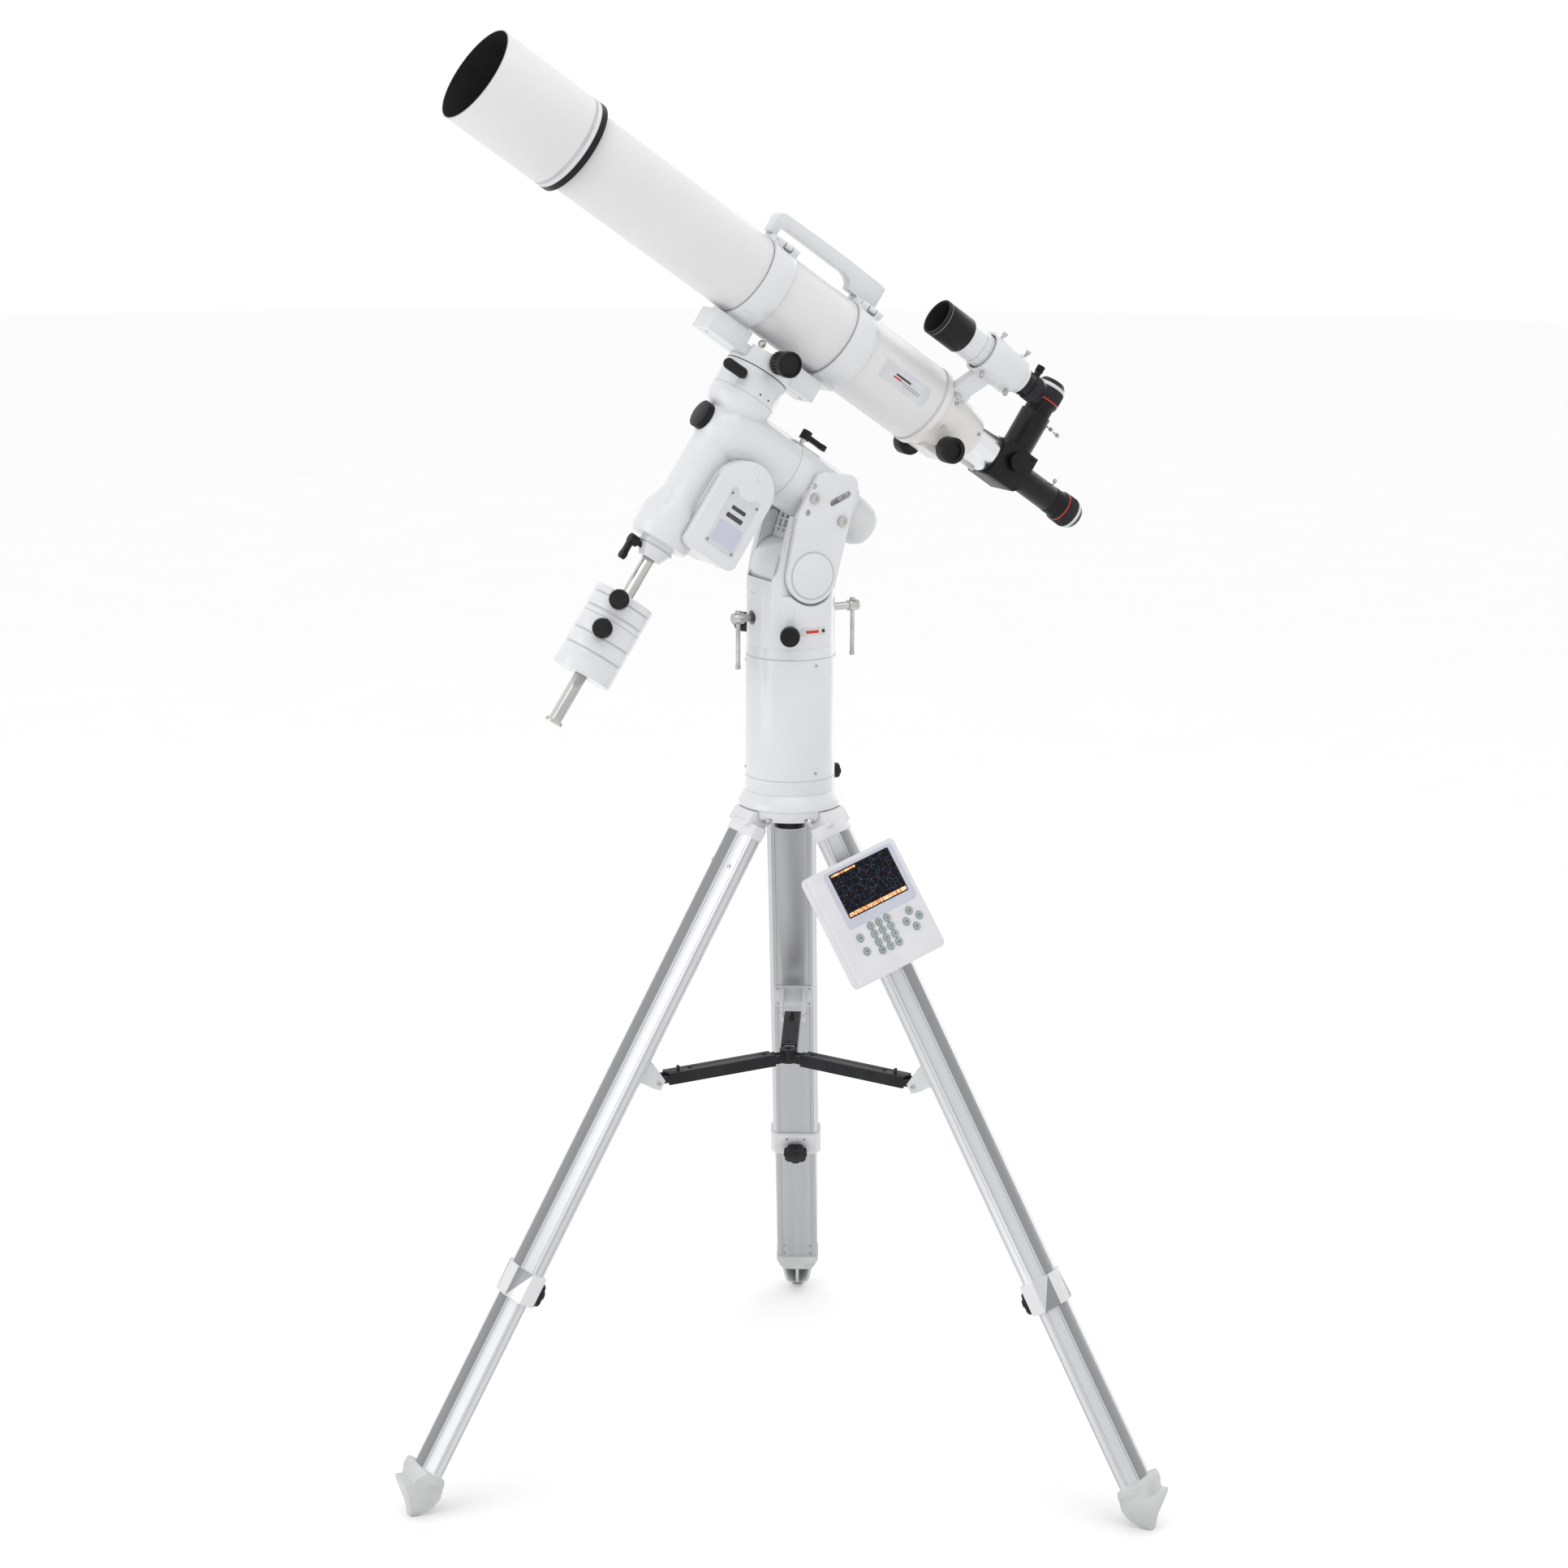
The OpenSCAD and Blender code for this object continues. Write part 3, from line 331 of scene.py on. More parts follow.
def strip_material():
    """An orange menu bar broken by plain dark blocks."""
    mat, tree, shader = nodes_of("orange_bar")
    vector = coordinates(tree, CONTROLLER, (1, 3, 1))
    blocks = ramp(tree, noise(tree, vector, 420, 1.0),
                  [(0.46, (0.55, 0.17, 0.03)), (0.56, (0.95, 0.62, 0.35))])
    tree.links.new(blocks, shader.inputs["Base Color"])
    tree.links.new(blocks, shader.inputs["Emission Color"])
    shader.inputs["Emission Strength"].default_value = 0.25
    tree.links.new(spread(tree, noise(tree, vector, 300), 0.15, 0.25), shader.inputs["Roughness"])
    return mat


lens = lens_material()
star_chart = display_material()
orange_bar = strip_material()

# ---------------------------------------------------------------- shapes


def smooth(mesh):
    mesh.shade_smooth()
    mesh.set_sharp_from_angle(angle=math.radians(SHARP_ANGLE))


def bevel(obj, width):
    b = obj.modifiers.new("edges", "BEVEL")
    b.width = width * MM
    b.segments = 2
    b.limit_method = "ANGLE"
    b.angle_limit = math.radians(SHARP_ANGLE + 2)
    b.use_clamp_overlap = True


def piece(name, bm, place, body, mat, edge=0.0):
    """Turns a bmesh in millimetres into a piece that rides on a body."""
    bmesh.ops.recalc_face_normals(bm, faces=bm.faces)
    mesh = bpy.data.meshes.new(name)
    bm.to_mesh(mesh)
    bm.free()
    mesh.transform(Matrix.Scale(MM, 4) @ place)
    smooth(mesh)
    obj = bpy.data.objects.new(name, mesh)
    bpy.context.scene.collection.objects.link(obj)
    mesh.materials.append(mat)
    if edge:
        bevel(obj, edge)
    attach(obj, body)
    return obj


def lathe_into(bm, profile, place=Matrix.Identity(4), segments=SEGMENTS, closed=True):
    rings = []
    for r, z in profile:
        if r < 1e-6:
            rings.append([bm.verts.new(place @ Vector((0, 0, z)))])
            continue
        rings.append([bm.verts.new(place @ Vector((r * math.cos(t), r * math.sin(t), z)))
                      for t in (2 * math.pi * k / segments for k in range(segments))])
    pairs = list(zip(rings, rings[1:])) + ([(rings[-1], rings[0])] if closed else [])
    for a, b in pairs:
        for k in range(segments):
            n = (k + 1) % segments
            corners = [a[0] if len(a) == 1 else a[k], a[0] if len(a) == 1 else a[n],
                       b[0] if len(b) == 1 else b[n], b[0] if len(b) == 1 else b[k]]
            unique = list(dict.fromkeys(corners))
            if len(unique) > 2:
                bm.faces.new(unique)


def lathe(name, profile, place, body, mat, segments=SEGMENTS, edge=0.0):
    bm = bmesh.new()
    closed = profile[0][0] > 1e-6 or profile[-1][0] > 1e-6
    lathe_into(bm, profile, segments=segments, closed=closed)
    return piece(name, bm, place, body, mat, edge)


def band(name, radius, low, high, place, body, mat, height=0.15):
    """A thin ring lying on a round surface."""
    return lathe(name, [(radius - SINK, low), (radius + height, low), (radius + height, high),
                        (radius - SINK, high)], place, body, mat)


def slab_into(bm, outline, low, high, place=Matrix.Identity(4)):
    bottom = [bm.verts.new(place @ Vector((x, y, low))) for x, y in outline]
    top = [bm.verts.new(place @ Vector((x, y, high))) for x, y in outline]
    bm.faces.new(list(reversed(bottom)))
    bm.faces.new(top)
    for k in range(len(outline)):
        n = (k + 1) % len(outline)
        bm.faces.new([bottom[k], bottom[n], top[n], top[k]])


def slab(name, outline, low, high, place, body, mat, edge=0.0):
    bm = bmesh.new()
    slab_into(bm, outline, low, high)
    return piece(name, bm, place, body, mat, edge)


def box(name, low, high, place, body, mat, edge=0.0):
    outline = [(low[0], low[1]), (high[0], low[1]), (high[0], high[1]), (low[0], high[1])]
    return slab(name, outline, low[2], high[2], place, body, mat, edge)


def round_outline(width, height, radius, cx=0.0, cy=0.0, steps=6):
    points = []
    for sx, sy, start in ((1, 1, 0), (-1, 1, 90), (-1, -1, 180), (1, -1, 270)):
        for k in range(steps + 1):
            t = math.radians(start + 90 * k / steps)
            points.append((cx + sx * (width / 2 - radius) + radius * math.cos(t),
                           cy + sy * (height / 2 - radius) + radius * math.sin(t)))
    return points


def ribbed_outline(radius, depth, count, share=0.5):
    """A circle with ribs, as on a knurled or fluted grip."""
    points = []
    for k in range(count):
        for offset, r in ((-share / 2, radius), (share / 2, radius),
                          (share / 2 + 0.12, radius - depth),
                          (0.88 - share / 2, radius - depth)):
            t = 2 * math.pi * (k + offset) / count
            points.append((r * math.cos(t), r * math.sin(t)))
    return points


def grip(name, radius, low, high, place, body, mat, count=36, depth=0.9, edge=0.25):
    return slab(name, ribbed_outline(radius, depth, count), low, high, place, body, mat, edge)


def screws(name, places, radius, body, mat, socket=True):
    """Socket-head screws at several places, heads up along each place's Z."""
    bm = bmesh.new()
    for place in places:
        hollow = radius * 0.5
        head = [(0, -SINK), (radius, -SINK), (radius, radius * 0.45),
                (radius * 0.86, radius * 0.62)]
        bore = [(hollow, radius * 0.62), (hollow, 0.1), (0, 0.1)]
        inside = bore if socket else [(0, radius * 0.7)]
        lathe_into(bm, head + inside, place, 24, closed=False)
    return piece(name, bm, Matrix.Identity(4), body, mat)


def wrapped_plate(name, radius, width, height, corner, middle_z, tilt, place, body, mat, rise=0.25):
    """A thin plate with round corners that follows a cylinder; tilt turns it round the axis."""
    bm = bmesh.new()
    columns, sides = 40, []
    for k in range(columns + 1):
        x = -width / 2 + width * k / columns
        over = max(0.0, abs(x) - (width / 2 - corner))
        half = height / 2 - corner + math.sqrt(max(0.0, corner * corner - over * over))
        t = math.radians(tilt) + x / radius
        sides.append([[bm.verts.new((r * math.cos(t), r * math.sin(t), middle_z + z))
                       for z in (-half, half)] for r in (radius - SINK, radius + rise)])
    for a, b in zip(sides, sides[1:]):
        bm.faces.new([a[1][0], b[1][0], b[1][1], a[1][1]])
        bm.faces.new([a[0][1], b[0][1], b[0][0], a[0][0]])
        bm.faces.new([a[0][0], b[0][0], b[1][0], a[1][0]])
        bm.faces.new([a[1][1], b[1][1], b[0][1], a[0][1]])
    for end in (sides[0], sides[-1]):
        bm.faces.new([end[0][0], end[0][1], end[1][1], end[1][0]])
    return piece(name, bm, place, body, mat)


def glyph(name, text, size, place, body, mat):
    """One generic numeral, raised a little."""
    curve = bpy.data.curves.new(name, "FONT")
    curve.body = text
    curve.size = size
    curve.align_x = "CENTER"
    curve.align_y = "CENTER"
    curve.extrude = 0.06
    holder = bpy.data.objects.new(name + "_curve", curve)
    bpy.context.scene.collection.objects.link(holder)
    bpy.context.view_layer.update()
    graph = bpy.context.evaluated_depsgraph_get()
    mesh = bpy.data.meshes.new_from_object(holder.evaluated_get(graph))
    bpy.data.objects.remove(holder)
    bm = bmesh.new()
    bm.from_mesh(mesh)
    bpy.data.meshes.remove(mesh)
    return piece(name, bm, place, body, mat)


# ---------------------------------------------------------------- CAD nodes


def dress(node, mats, choose=None, place=Matrix.Identity(4), edge=0.5):
    """Gives a CAD node its materials, chosen face by face in a frame, and softens its edges."""
    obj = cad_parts[node]
    mesh = obj.data
    mesh.materials.clear()
    for mat in mats:
        mesh.materials.append(mat)
    inverse = place.inverted()
    for polygon in mesh.polygons:
        polygon.material_index = 0
        if choose:
            centre = inverse @ (polygon.center / MM)
            polygon.material_index = choose(centre)
    if "custom_normal" in mesh.attributes:
        mesh.attributes.remove(mesh.attributes["custom_normal"])
    weld = obj.modifiers.new("weld", "WELD")
    weld.merge_threshold = 0.00002
    smooth(mesh)
    if edge:
        bevel(obj, edge)
    return obj


for node in ("tripod_head", "mount_base", "polar_housing", "side_plates", "ra_body", "motor_cover",
             "weight_upper", "weight_lower", "slide_bar", "carry_handle"):
    dress(node, [enamel], edge=1.2 if node == "motor_cover" else 0.7)
dress("pillar", [enamel], edge=0.5)
dress("tube_rings", [enamel, steel], lambda p: int(abs(math.hypot(p.x - 62.4, p.y + 36)) < 2.2),
      TUBE, 0.5)
dress("side_plate_fasteners", [enamel, steel], lambda p: int(p.z > 1450), PILLAR, 0.4)
dress("polar_rear_cap", [grey_cap])
dress("main_tube", [tube_paint, flat_black], lambda p: int(math.hypot(p.x, p.y) < 61.5), TUBE, 0.4)
dress("dew_shield", [tube_paint, flat_black, satin_black],
      lambda p: 1 if math.hypot(p.x, p.y) < 71.5 and p.z > 430 else 2 if p.z < 436 else 0, TUBE,
      0.5)
dress("objective_cell", [satin_black])
dress("objective_lens", [lens], edge=0)
dress("focuser_body", [cream, flat_black], lambda p: int(math.hypot(p.x, p.y) < 33 and p.z < -273),
      TUBE)


def off_finder(p):
    """Distance from the finder's axis."""
    return math.hypot(p.x - FINDER_X, p.y - FINDER_Y)


dress("finder_bracket", [enamel, steel],
      lambda p: int(off_finder(p) > 34.4 and p.z < -277 and p.x > 112 or off_finder(p) < 29), TUBE)
dress("finder_scope", [enamel, satin_black, flat_black],
      lambda p: 2 if off_finder(p) < 26.6 and p.z > -235 else int(p.z > -236.2 or p.z < -359.5),
      TUBE, 0.4)
dress("drawtube", [drawn_tube, flat_black, steel],
      lambda p: 2 if p.x < -32.1 else int(math.hypot(p.x, p.y) < 29), TUBE, 0.3)
dress("flip_mirror_box", [satin_black], edge=0.8)
dress("flip_mirror", [satin_black, mirror], lambda p: int(abs(p.y) < 25 and p.x > 11.9), TUBE, 0.2)
dress("eyepieces", [satin_black], edge=0.3)
dress("focus_knobs", [knob_black, steel],
      lambda p: int(math.hypot(p.x + 45, p.z + 316) < 9 and abs(p.y) < 54), TUBE, 0.5)
dress("leg_hinge_bolts", [steel], edge=0.4)
dress("centre_bolt", [satin_black, casting, steel],
      lambda p: 1 if p.z < 1000.9 else 2 if p.z > 1011.1 else 0, PILLAR)
dress("pillar_lock_knob", [knob_black], edge=0.8)
dress("altitude_screw_north", [steel], edge=0.4)
dress("altitude_screw_south", [steel], edge=0.4)
dress("counterweight_bar", [bar_steel, steel], lambda p: int(p.z < -496.9), DEC, 0.4)
dress("polar_front_cap", [satin_black], edge=0.6)
dress("ra_clamp_lever", [knob_black, steel], lambda p: int(p.x < 57.9), POLAR, 0.9)
dress("dec_clamp_lever", [knob_black, steel],
      lambda p: int(math.hypot(p.x, p.y) < 60 and abs(p.z - 76) < 4.2), DEC, 0.3)
dress("bar_clamp_lever", [knob_black], edge=0.9)
dress("dec_head", [enamel, steel],
      lambda p: int(p.z > 125.1 and math.hypot(p.x + 33, p.y + 34) < 7), DEC, 0.5)
dress("ring_lids", [enamel, knob_black, steel],
      lambda p: 1 if p.y * math.cos(math.radians(30)) + p.x * 0.5 > 8.9 and
      -p.x * math.cos(math.radians(30)) + p.y * 0.5 > 79 else 0, TUBE, 0.5)


def upper_leg_faces(p, has_peg):
    """Which of an upper leg's materials a face takes; leg 3 carries the controller's peg."""
    metal, cast, cap, black, shaded, inner = range(6)
    if p.x < -24.6 or (has_peg and p.x < -23.4 and 140 < p.z < 180 and abs(p.y) < 20):
        return black if 140 < p.z < 185 or p.x < -30 else cast
    if p.z < 35 or 768 < p.z < 818 and (abs(p.y) > 38.3 or p.x > 10 or p.x < -23.5 or
                                        abs(p.z - 769) < 1.5 or abs(p.z - 817) < 1.5):
        return cast
    if p.x > 10:
        return cap
    # painted shade: the face from x 9 to 10 and the flat beyond x -22.9 take the darker copies of
    # the leg metal
    if p.x > 9:
        return inner
    return shaded if p.x < -22.9 else metal


for i in range(3):
    n = i + 1
    dress(f"leg_{n}_upper", [leg_metal[i], casting, grey_cap, satin_black, leg_painted_shade[i],
                             leg_inner_painted_shade[i]],
          lambda p: upper_leg_faces(p, i == 2), LEG[i], 0.4)
    # painted shade: the lower leg's faces beyond x -20.4 and beyond x 6 take the darker copies of
    # the leg metal
    dress(f"leg_{n}_lower", [leg_metal[i], foot_grey, leg_painted_shade[i], leg_inner_painted_shade[i]],
          lambda p: 1 if p.z > 1104 else 2 if p.x < -20.4 else 3 if p.x > 6 else 0, LEG[i], 0.6)
    dress(f"leg_{n}_knob", [knob_black], edge=1.2)
    dress(f"brace_arm_{n}", [brace_black], edge=0.5)
dress("brace_hub", [brace_black], edge=0.5)
dress("controller_case", [case_white], edge=1.6)
dress("controller_screen", [star_chart], edge=0.2)
dress("number_keys", [key_grey], edge=0.5)
dress("navigation_keys", [key_grey], edge=0.5)

# ---------------------------------------------------------------- tripod details
for i in range(3):
    n = i + 1
    for side, s in (("left", -1), ("right", 1)):
        # grooves along the extrusions, drawn as thin strips of painted shadow just proud of the
        # surface
        for part, low, high, inset, body in (("upper", 36, 767, 0.0, f"leg_{n}"),
                                             ("lower", 819, 1102, LOWER_INSET, f"leg_{n}_lower")):
            bm = bmesh.new()
            y = s * (LEG_HALF_WIDTH - inset)
            for x in (-8.2, 1.6):
                near, far = sorted((y - 0.2 * s, y + 0.15 * s))
                slab_into(bm, [(x, near), (x + 0.7, near), (x + 0.7, far), (x, far)], low, high)
            piece(f"leg_{n}_{part}_grooves_{side}", bm, LEG[i], body, seam_shadow_and_print_grey)
            # a line of painted shadow along the flat face
            face = LEG_FACE - inset
            box(f"leg_{n}_{part}_face_line_{side}", (face - 0.2, s * 26 - 0.35, low),
                (face + 0.1, s * 26 + 0.35, high), LEG[i], body, seam_shadow_and_print_grey)
            # two lines of painted shadow on the sloping outer corner
            slope = math.hypot(12, 24)
            bm = bmesh.new()
            for along in (3.5, 23.5):
                spot = (move(-23.3 + 12 * along / slope, s * (14 + 24 * along / slope), 0)
                        @ turn(s * 153.4, "Z") @ move(-inset, 0, 0))
                slab_into(bm, [(-0.25, -0.3), (0.12, -0.3), (0.12, 0.3), (-0.25, 0.3)], low, high,
                          spot)
            piece(f"leg_{n}_{part}_corner_lines_{side}", bm, LEG[i], body, seam_shadow_and_print_grey)
    spots = [LEG[i] @ move(-17.3, s * 26, 88) @ turn(s * 153.4, "Z") @ ALONG_X for s in (-1, 1)]
    screws(f"leg_{n}_casting_screws", spots, 3.0, f"leg_{n}", steel)
    screws(f"leg_{n}_foot_screws",
           [LEG[i] @ move(7.2, s * 23, z) @ ALONG_X for s in (-1, 1) for z in (1077, 1098)], 2.6,
           f"leg_{n}_lower", steel)
    slab(f"leg_{n}_fork_plate", round_outline(48, 62, 3), -0.1, 1.2,
         LEG[i] @ move(LEG_FACE, 0, 426) @ ALONG_X, f"leg_{n}", plate_silver, 0.3)
    screws(f"leg_{n}_fork_screws",
           [LEG[i] @ move(10.9, s * 26, z) @ ALONG_X for s in (-1, 1) for z in (408, 444)], 2.4,
           f"leg_{n}", steel)
    screws(f"leg_{n}_fork_pins",
           [LEG[i] @ move(47, s * 21.4, 431) @ (ALONG_Y if s > 0 else AGAINST_Y) for s in (-1, 1)],
           3.2, f"leg_{n}", steel)
    screws(f"leg_{n}_collar_screws",
           [LEG[i] @ move(14.5, s * 15, 779) @ ALONG_X for s in (-1, 1)], 2.2, f"leg_{n}", steel)
    lathe(f"leg_{n}_knob_cap", [(0, 24.2), (8, 24.2), (7.4, 25.2), (0, 25.6)],
          LEG[i] @ move(LEG_FACE, 0, 801) @ ALONG_X, f"leg_{n}_knob", satin_black)
    arm = PILLAR @ turn(LEG_DIRECTIONS[i], "Z") @ move(21, 0, 631)
    screws(f"brace_hub_pins_{n}",
           [arm @ move(0, s * 8, 0) @ (ALONG_Y if s > 0 else AGAINST_Y) for s in (-1, 1)],
           2.6, "brace_hub", steel)

screws("pillar_screws",
       [PILLAR @ turn(a, "Z") @ move(68.2, 0, z) @ ALONG_X for a in (36, 156, -84)
        for z in (1262, 1096)],
       2.2, "tripod", steel)
# painted shadow lines in the pillar's two seams
band("pillar_lower_seam", PILLAR_RADIUS, 1084.5, 1085.1, PILLAR, "tripod", seam_shadow_and_print_grey, 0.06)
band("pillar_upper_seam", PILLAR_RADIUS, 1270.9, 1271.5, PILLAR, "tripod", seam_shadow_and_print_grey, 0.06)
lathe("head_underside_ring", [(24, 1019.4), (37, 1019.4), (37, 1021), (24, 1021)], PILLAR, "tripod",
      flat_black)

# ---------------------------------------------------------------- mount details
for side, s in (("near", 1), ("far", -1)):
    spot = PILLAR @ turn(180 + s * 61, "Z") @ move(0, 0, 1311) @ ALONG_X
    body = f"azimuth_knob_{side}"
    lathe(f"azimuth_shaft_{side}", [(0, 40), (5, 40), (5, 79), (0, 79)], spot, body, steel)
    disc = grip(f"azimuth_grip_{side}", 15, 78, 91, spot, body, knob_black, 40, 0.5)
    lathe(f"azimuth_face_{side}", [(0, 90), (14.4, 90), (14.4, 93.5), (13.4, 95), (0, 95)], spot,
          body, satin_black)
    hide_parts(f"azimuth_knob_{side}")
wrapped_plate("base_plate", 67, 44, 12, 2.5, PLATE_Z, PLATE_ANGLE + 33, PILLAR, "mount_base",
              plate_silver)
wrapped_plate("base_plate_bar", 67.3, 22, 4.5, 1.0, PLATE_Z, PLATE_ANGLE + 31, PILLAR, "mount_base",
              ink_red, 0.1)
screws("base_plate_screw",
       [PILLAR @ turn(PLATE_ANGLE + 48, "Z") @ move(67.1, 0, PLATE_Z) @ ALONG_X], 2.6,
       "mount_base", knob_black)
for name, z, outward, bar_x in (("north", 1331, -1, -90), ("south", 1337, 1, 107)):
    spot = PILLAR @ move(0, 0, z) @ turn(90 * outward, "Y")
    lathe(f"altitude_bore_{name}", [(7.2, 54), (10.9, 54), (10.9, 56.5), (7.2, 56.5)], spot,
          "mount_base", flat_black)
    head = PILLAR @ move(bar_x, 0, z)
    lathe(f"altitude_bar_top_{name}", [(0, 8), (4.6, 8), (4.6, 11.2), (3.8, 12), (0, 12)], head,
          f"altitude_screw_{name}", steel, 32)
    foot = [(0, -77.5), (3.2, -77.5), (4.2, -76.5), (4.2, -72.5), (3.6, -71.8), (0, -71.8)]
    lathe(f"altitude_bar_foot_{name}", foot, head, f"altitude_screw_{name}", steel, 32)
for side, s in (("near", -1), ("far", 1)):
    lie = AGAINST_Y if s < 0 else ALONG_Y
    spot = PIVOT @ move(0, s * 62.8, 0) @ lie
    # a ring of painted shadow round each pivot cover
    lathe(f"pivot_cover_ring_{side}", [(34.6, -0.2), (35.3, -0.2), (35.3, 0.12), (34.6, 0.12)],
          spot, "polar_housing", seam_shadow_and_print_grey)
    screws(f"slot_bolt_{side}", [PIVOT @ move(47, s * 56.5, 113) @ lie], 3.8,
           "polar_housing", steel)
# ribs seen under the housing, between the cheeks
for k, y in enumerate((-24, -8, 8, 24)):
    box(f"housing_rib_{k + 1}", (-36.6, y - 1.4, 50), (-32.2, y + 1.4, 88),
        PIVOT @ turn(20, "Y"), "polar_housing", enamel, 0.3)
for k, z in enumerate((56, 70, 84)):
    box(f"housing_cross_rib_{k + 1}", (-36.6, -30, z - 1.2), (-32.2, 30, z + 1.2),
        PIVOT @ turn(20, "Y"), "polar_housing", enamel, 0.3)

# motor housing: name plate without a name, four screws, a small round boss
OUTER = DEC @ AGAINST_Y  # X away from the pole, Y up the declination axis, Z towards the near side
arc = [(53 + 22 * math.cos(math.radians(a)), -58 + 22 * math.sin(math.radians(a)))
       for a in range(212, 332, 8)]
plate = [(30, -70.5)] + arc + [(76, -70.5), (79, -73), (83.5, -158), (80, -162), (34, -162),
                               (30.5, -158), (27, -74)]
slab("motor_plate", plate, 67.9, 68.5, OUTER, "ra_body", plate_silver, 0.2)
screws("motor_plate_screws",
       [OUTER @ move(x, y, 68.4) for x, y in ((30, -81), (78, -81), (32, -158), (79, -158))], 2.6,
       "ra_body", steel)
slab("motor_plate_bar", round_outline(26, 6, 1.5, 54, -98), 68.4, 68.65, OUTER, "ra_body", ink_dark)
slab("motor_plate_bar_low", round_outline(30, 7, 1.5, 54, -111), 68.4, 68.65, OUTER, "ra_body",
     ink_dark)
slab("motor_plate_field", round_outline(44, 34, 2, 56, -138), 68.4, 68.6, OUTER, "ra_body", bezel)
lathe("motor_cover_boss", [(0, 67.8), (8, 67.8), (8, 68.4), (7.2, 68.8), (0, 68.8)],
      OUTER @ move(61.5, -39, 0), "ra_body", enamel, 48)
# painted shadow lines in the seams round the necks and the weight bar
band("dec_seam", NECK_RADIUS, 96.7, 97.3, DEC, "ra_body", seam_shadow_and_print_grey, 0.05)
lathe("dec_gap", [(44, 96.9), (49.4, 96.9), (49.4, 98.6), (44, 98.6)], DEC, "ra_body", flat_black)
band("dec_circle_seam", NECK_RADIUS, 56.6, 57.1, DEC, "ra_body", seam_shadow_and_print_grey, 0.06)
screws("dec_grub_screws", [DEC @ turn(a, "Z") @ move(NECK_RADIUS, 0, 65) @ ALONG_X
                           for a in (268, 288)], 1.3,
       "ra_body", flat_black, False)
band("polar_seam", NECK_RADIUS, -113.6, -113.0, POLAR, "ra_body", seam_shadow_and_print_grey, 0.05)
band("weight_bar_seam", 28.4, -204, -203.4, DEC, "ra_body", seam_shadow_and_print_grey, 0.05)

# knurled knobs that stand in for the plain ones
for name, top in (("upper", -302), ("lower", -350.5)):
    spot = DEC @ turn(237, "Z") @ move(0, 0, top) @ ALONG_X
    body = f"weight_{name}_knob"
    lathe(f"weight_{name}_shaft", [(0, 13), (4, 13), (4, 56), (0, 56)], spot, body, steel, 32)
    disc = grip(f"weight_{name}_grip", 15, 54, 67, spot, body, knob_black, 24, 1.2)
    lathe(f"weight_{name}_face", [(0, 66), (13, 66), (13, 69), (12, 70.2), (0, 70.4)], spot, body,
          knob_black)
    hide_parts(f"weight_{name}_knob")
spot = DEC @ move(-4, 0, 118.5) @ AGAINST_Y
lathe("saddle_shaft", [(0, 28), (5, 28), (5, 58), (0, 58)], spot, "saddle_knob", steel, 32)
sleeve = grip("saddle_grip", 17.8, 57, 80, spot, "saddle_knob", knob_black, 22, 1.8)
lathe("saddle_face", [(0, 79), (18.6, 79), (19.4, 80), (19.4, 90), (18.6, 90.9), (16.6, 91),
                      (15.2, 88), (0, 87.6)], spot, "saddle_knob", satin_black)
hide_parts("saddle_knob")

# ---------------------------------------------------------------- optical tube details
band("dew_grey_stripe", DEW_RADIUS, 443.5, 449, TUBE, "dew_shield", stripe_grey, 0.08)
band("dew_black_ring", DEW_RADIUS, 427.2, 437, TUBE, "dew_shield", satin_black, 0.25)
# a line of painted shadow at the dew shield's rim
band("dew_rim", 72.35, 607.2, 608, TUBE, "dew_shield", seam_shadow_and_print_grey, 0.12)
for k, edge_s in enumerate((97.4, 56.6, -73.6, -114.4)):
    band(f"ring_shadow_{k + 1}", TUBE_RADIUS, edge_s - 0.5, edge_s + 0.5, TUBE, "tube_saddle",
         seam_shadow_and_print_grey, 0.05)
wrapped_plate("tube_label", TUBE_RADIUS, 29, 93, 3, -191.5, 268, TUBE, "optical_tube", plate_silver)
# plain bars stand for the printing: width, length, middle, turn round the tube, colour
for k, (w, h, z, t, mat) in enumerate(((3.4, 30, -186, 270.5, ink_dark),
                                       (2.6, 16, -176, 266, ink_red),
                                       (1.2, 40, -204, 265.5, seam_shadow_and_print_grey),
                                       (1.0, 34, -206, 262.5, seam_shadow_and_print_grey))):
    wrapped_plate(f"tube_label_bar_{k + 1}", TUBE_RADIUS + 0.25, w, h, 0.7, z, t, TUBE,
                  "optical_tube", mat, 0.06)
# a line of painted shadow in the tube's rear seam
band("tube_rear_seam", TUBE_RADIUS, -262, -261.3, TUBE, "optical_tube", seam_shadow_and_print_grey, 0.05)
for s in (-1, 1):
    side = "near" if s < 0 else "far"
    spot = TUBE @ move(-45, 0, -316) @ (AGAINST_Y if s < 0 else ALONG_Y)
    grip(f"focus_grip_{side}", 20.2, 54.5, 67, spot, "focus_knobs", knob_black, 28, 1.4)
screws("focuser_screws",
       [TUBE @ turn(a, "Z") @ move(58, 0, -292) @ turn(90 - 14, "Y") for a in (250, 292, 120)], 3.0,
       "optical_tube", steel)
lathe("tension_screw", [(0, 0), (6, 0), (6, 5), (5, 6), (0, 6)],
      TUBE @ turn(305, "Z") @ move(55.5, 0, -290) @ ALONG_X, "optical_tube", plate_silver, 40)
screws("focuser_lock", [TUBE @ move(7, -38, -360) @ AGAINST_Y], 3.2, "optical_tube", steel)
# finder adjusting screws with knurled heads
for k, (z, a) in enumerate(((z, a) for z in (-285, -336) for a in (90, 210, 330))):
    spot = FINDER @ move(0, 0, z) @ turn(a, "Z") @ ALONG_X
    outline = [(0, 33.6), (2.4, 33.6), (2.4, 38), (3.9, 39), (3.9, 44), (3.2, 45), (0, 45)]
    lathe(f"finder_screw_{k + 1}", outline, spot, "optical_tube", steel, 24)
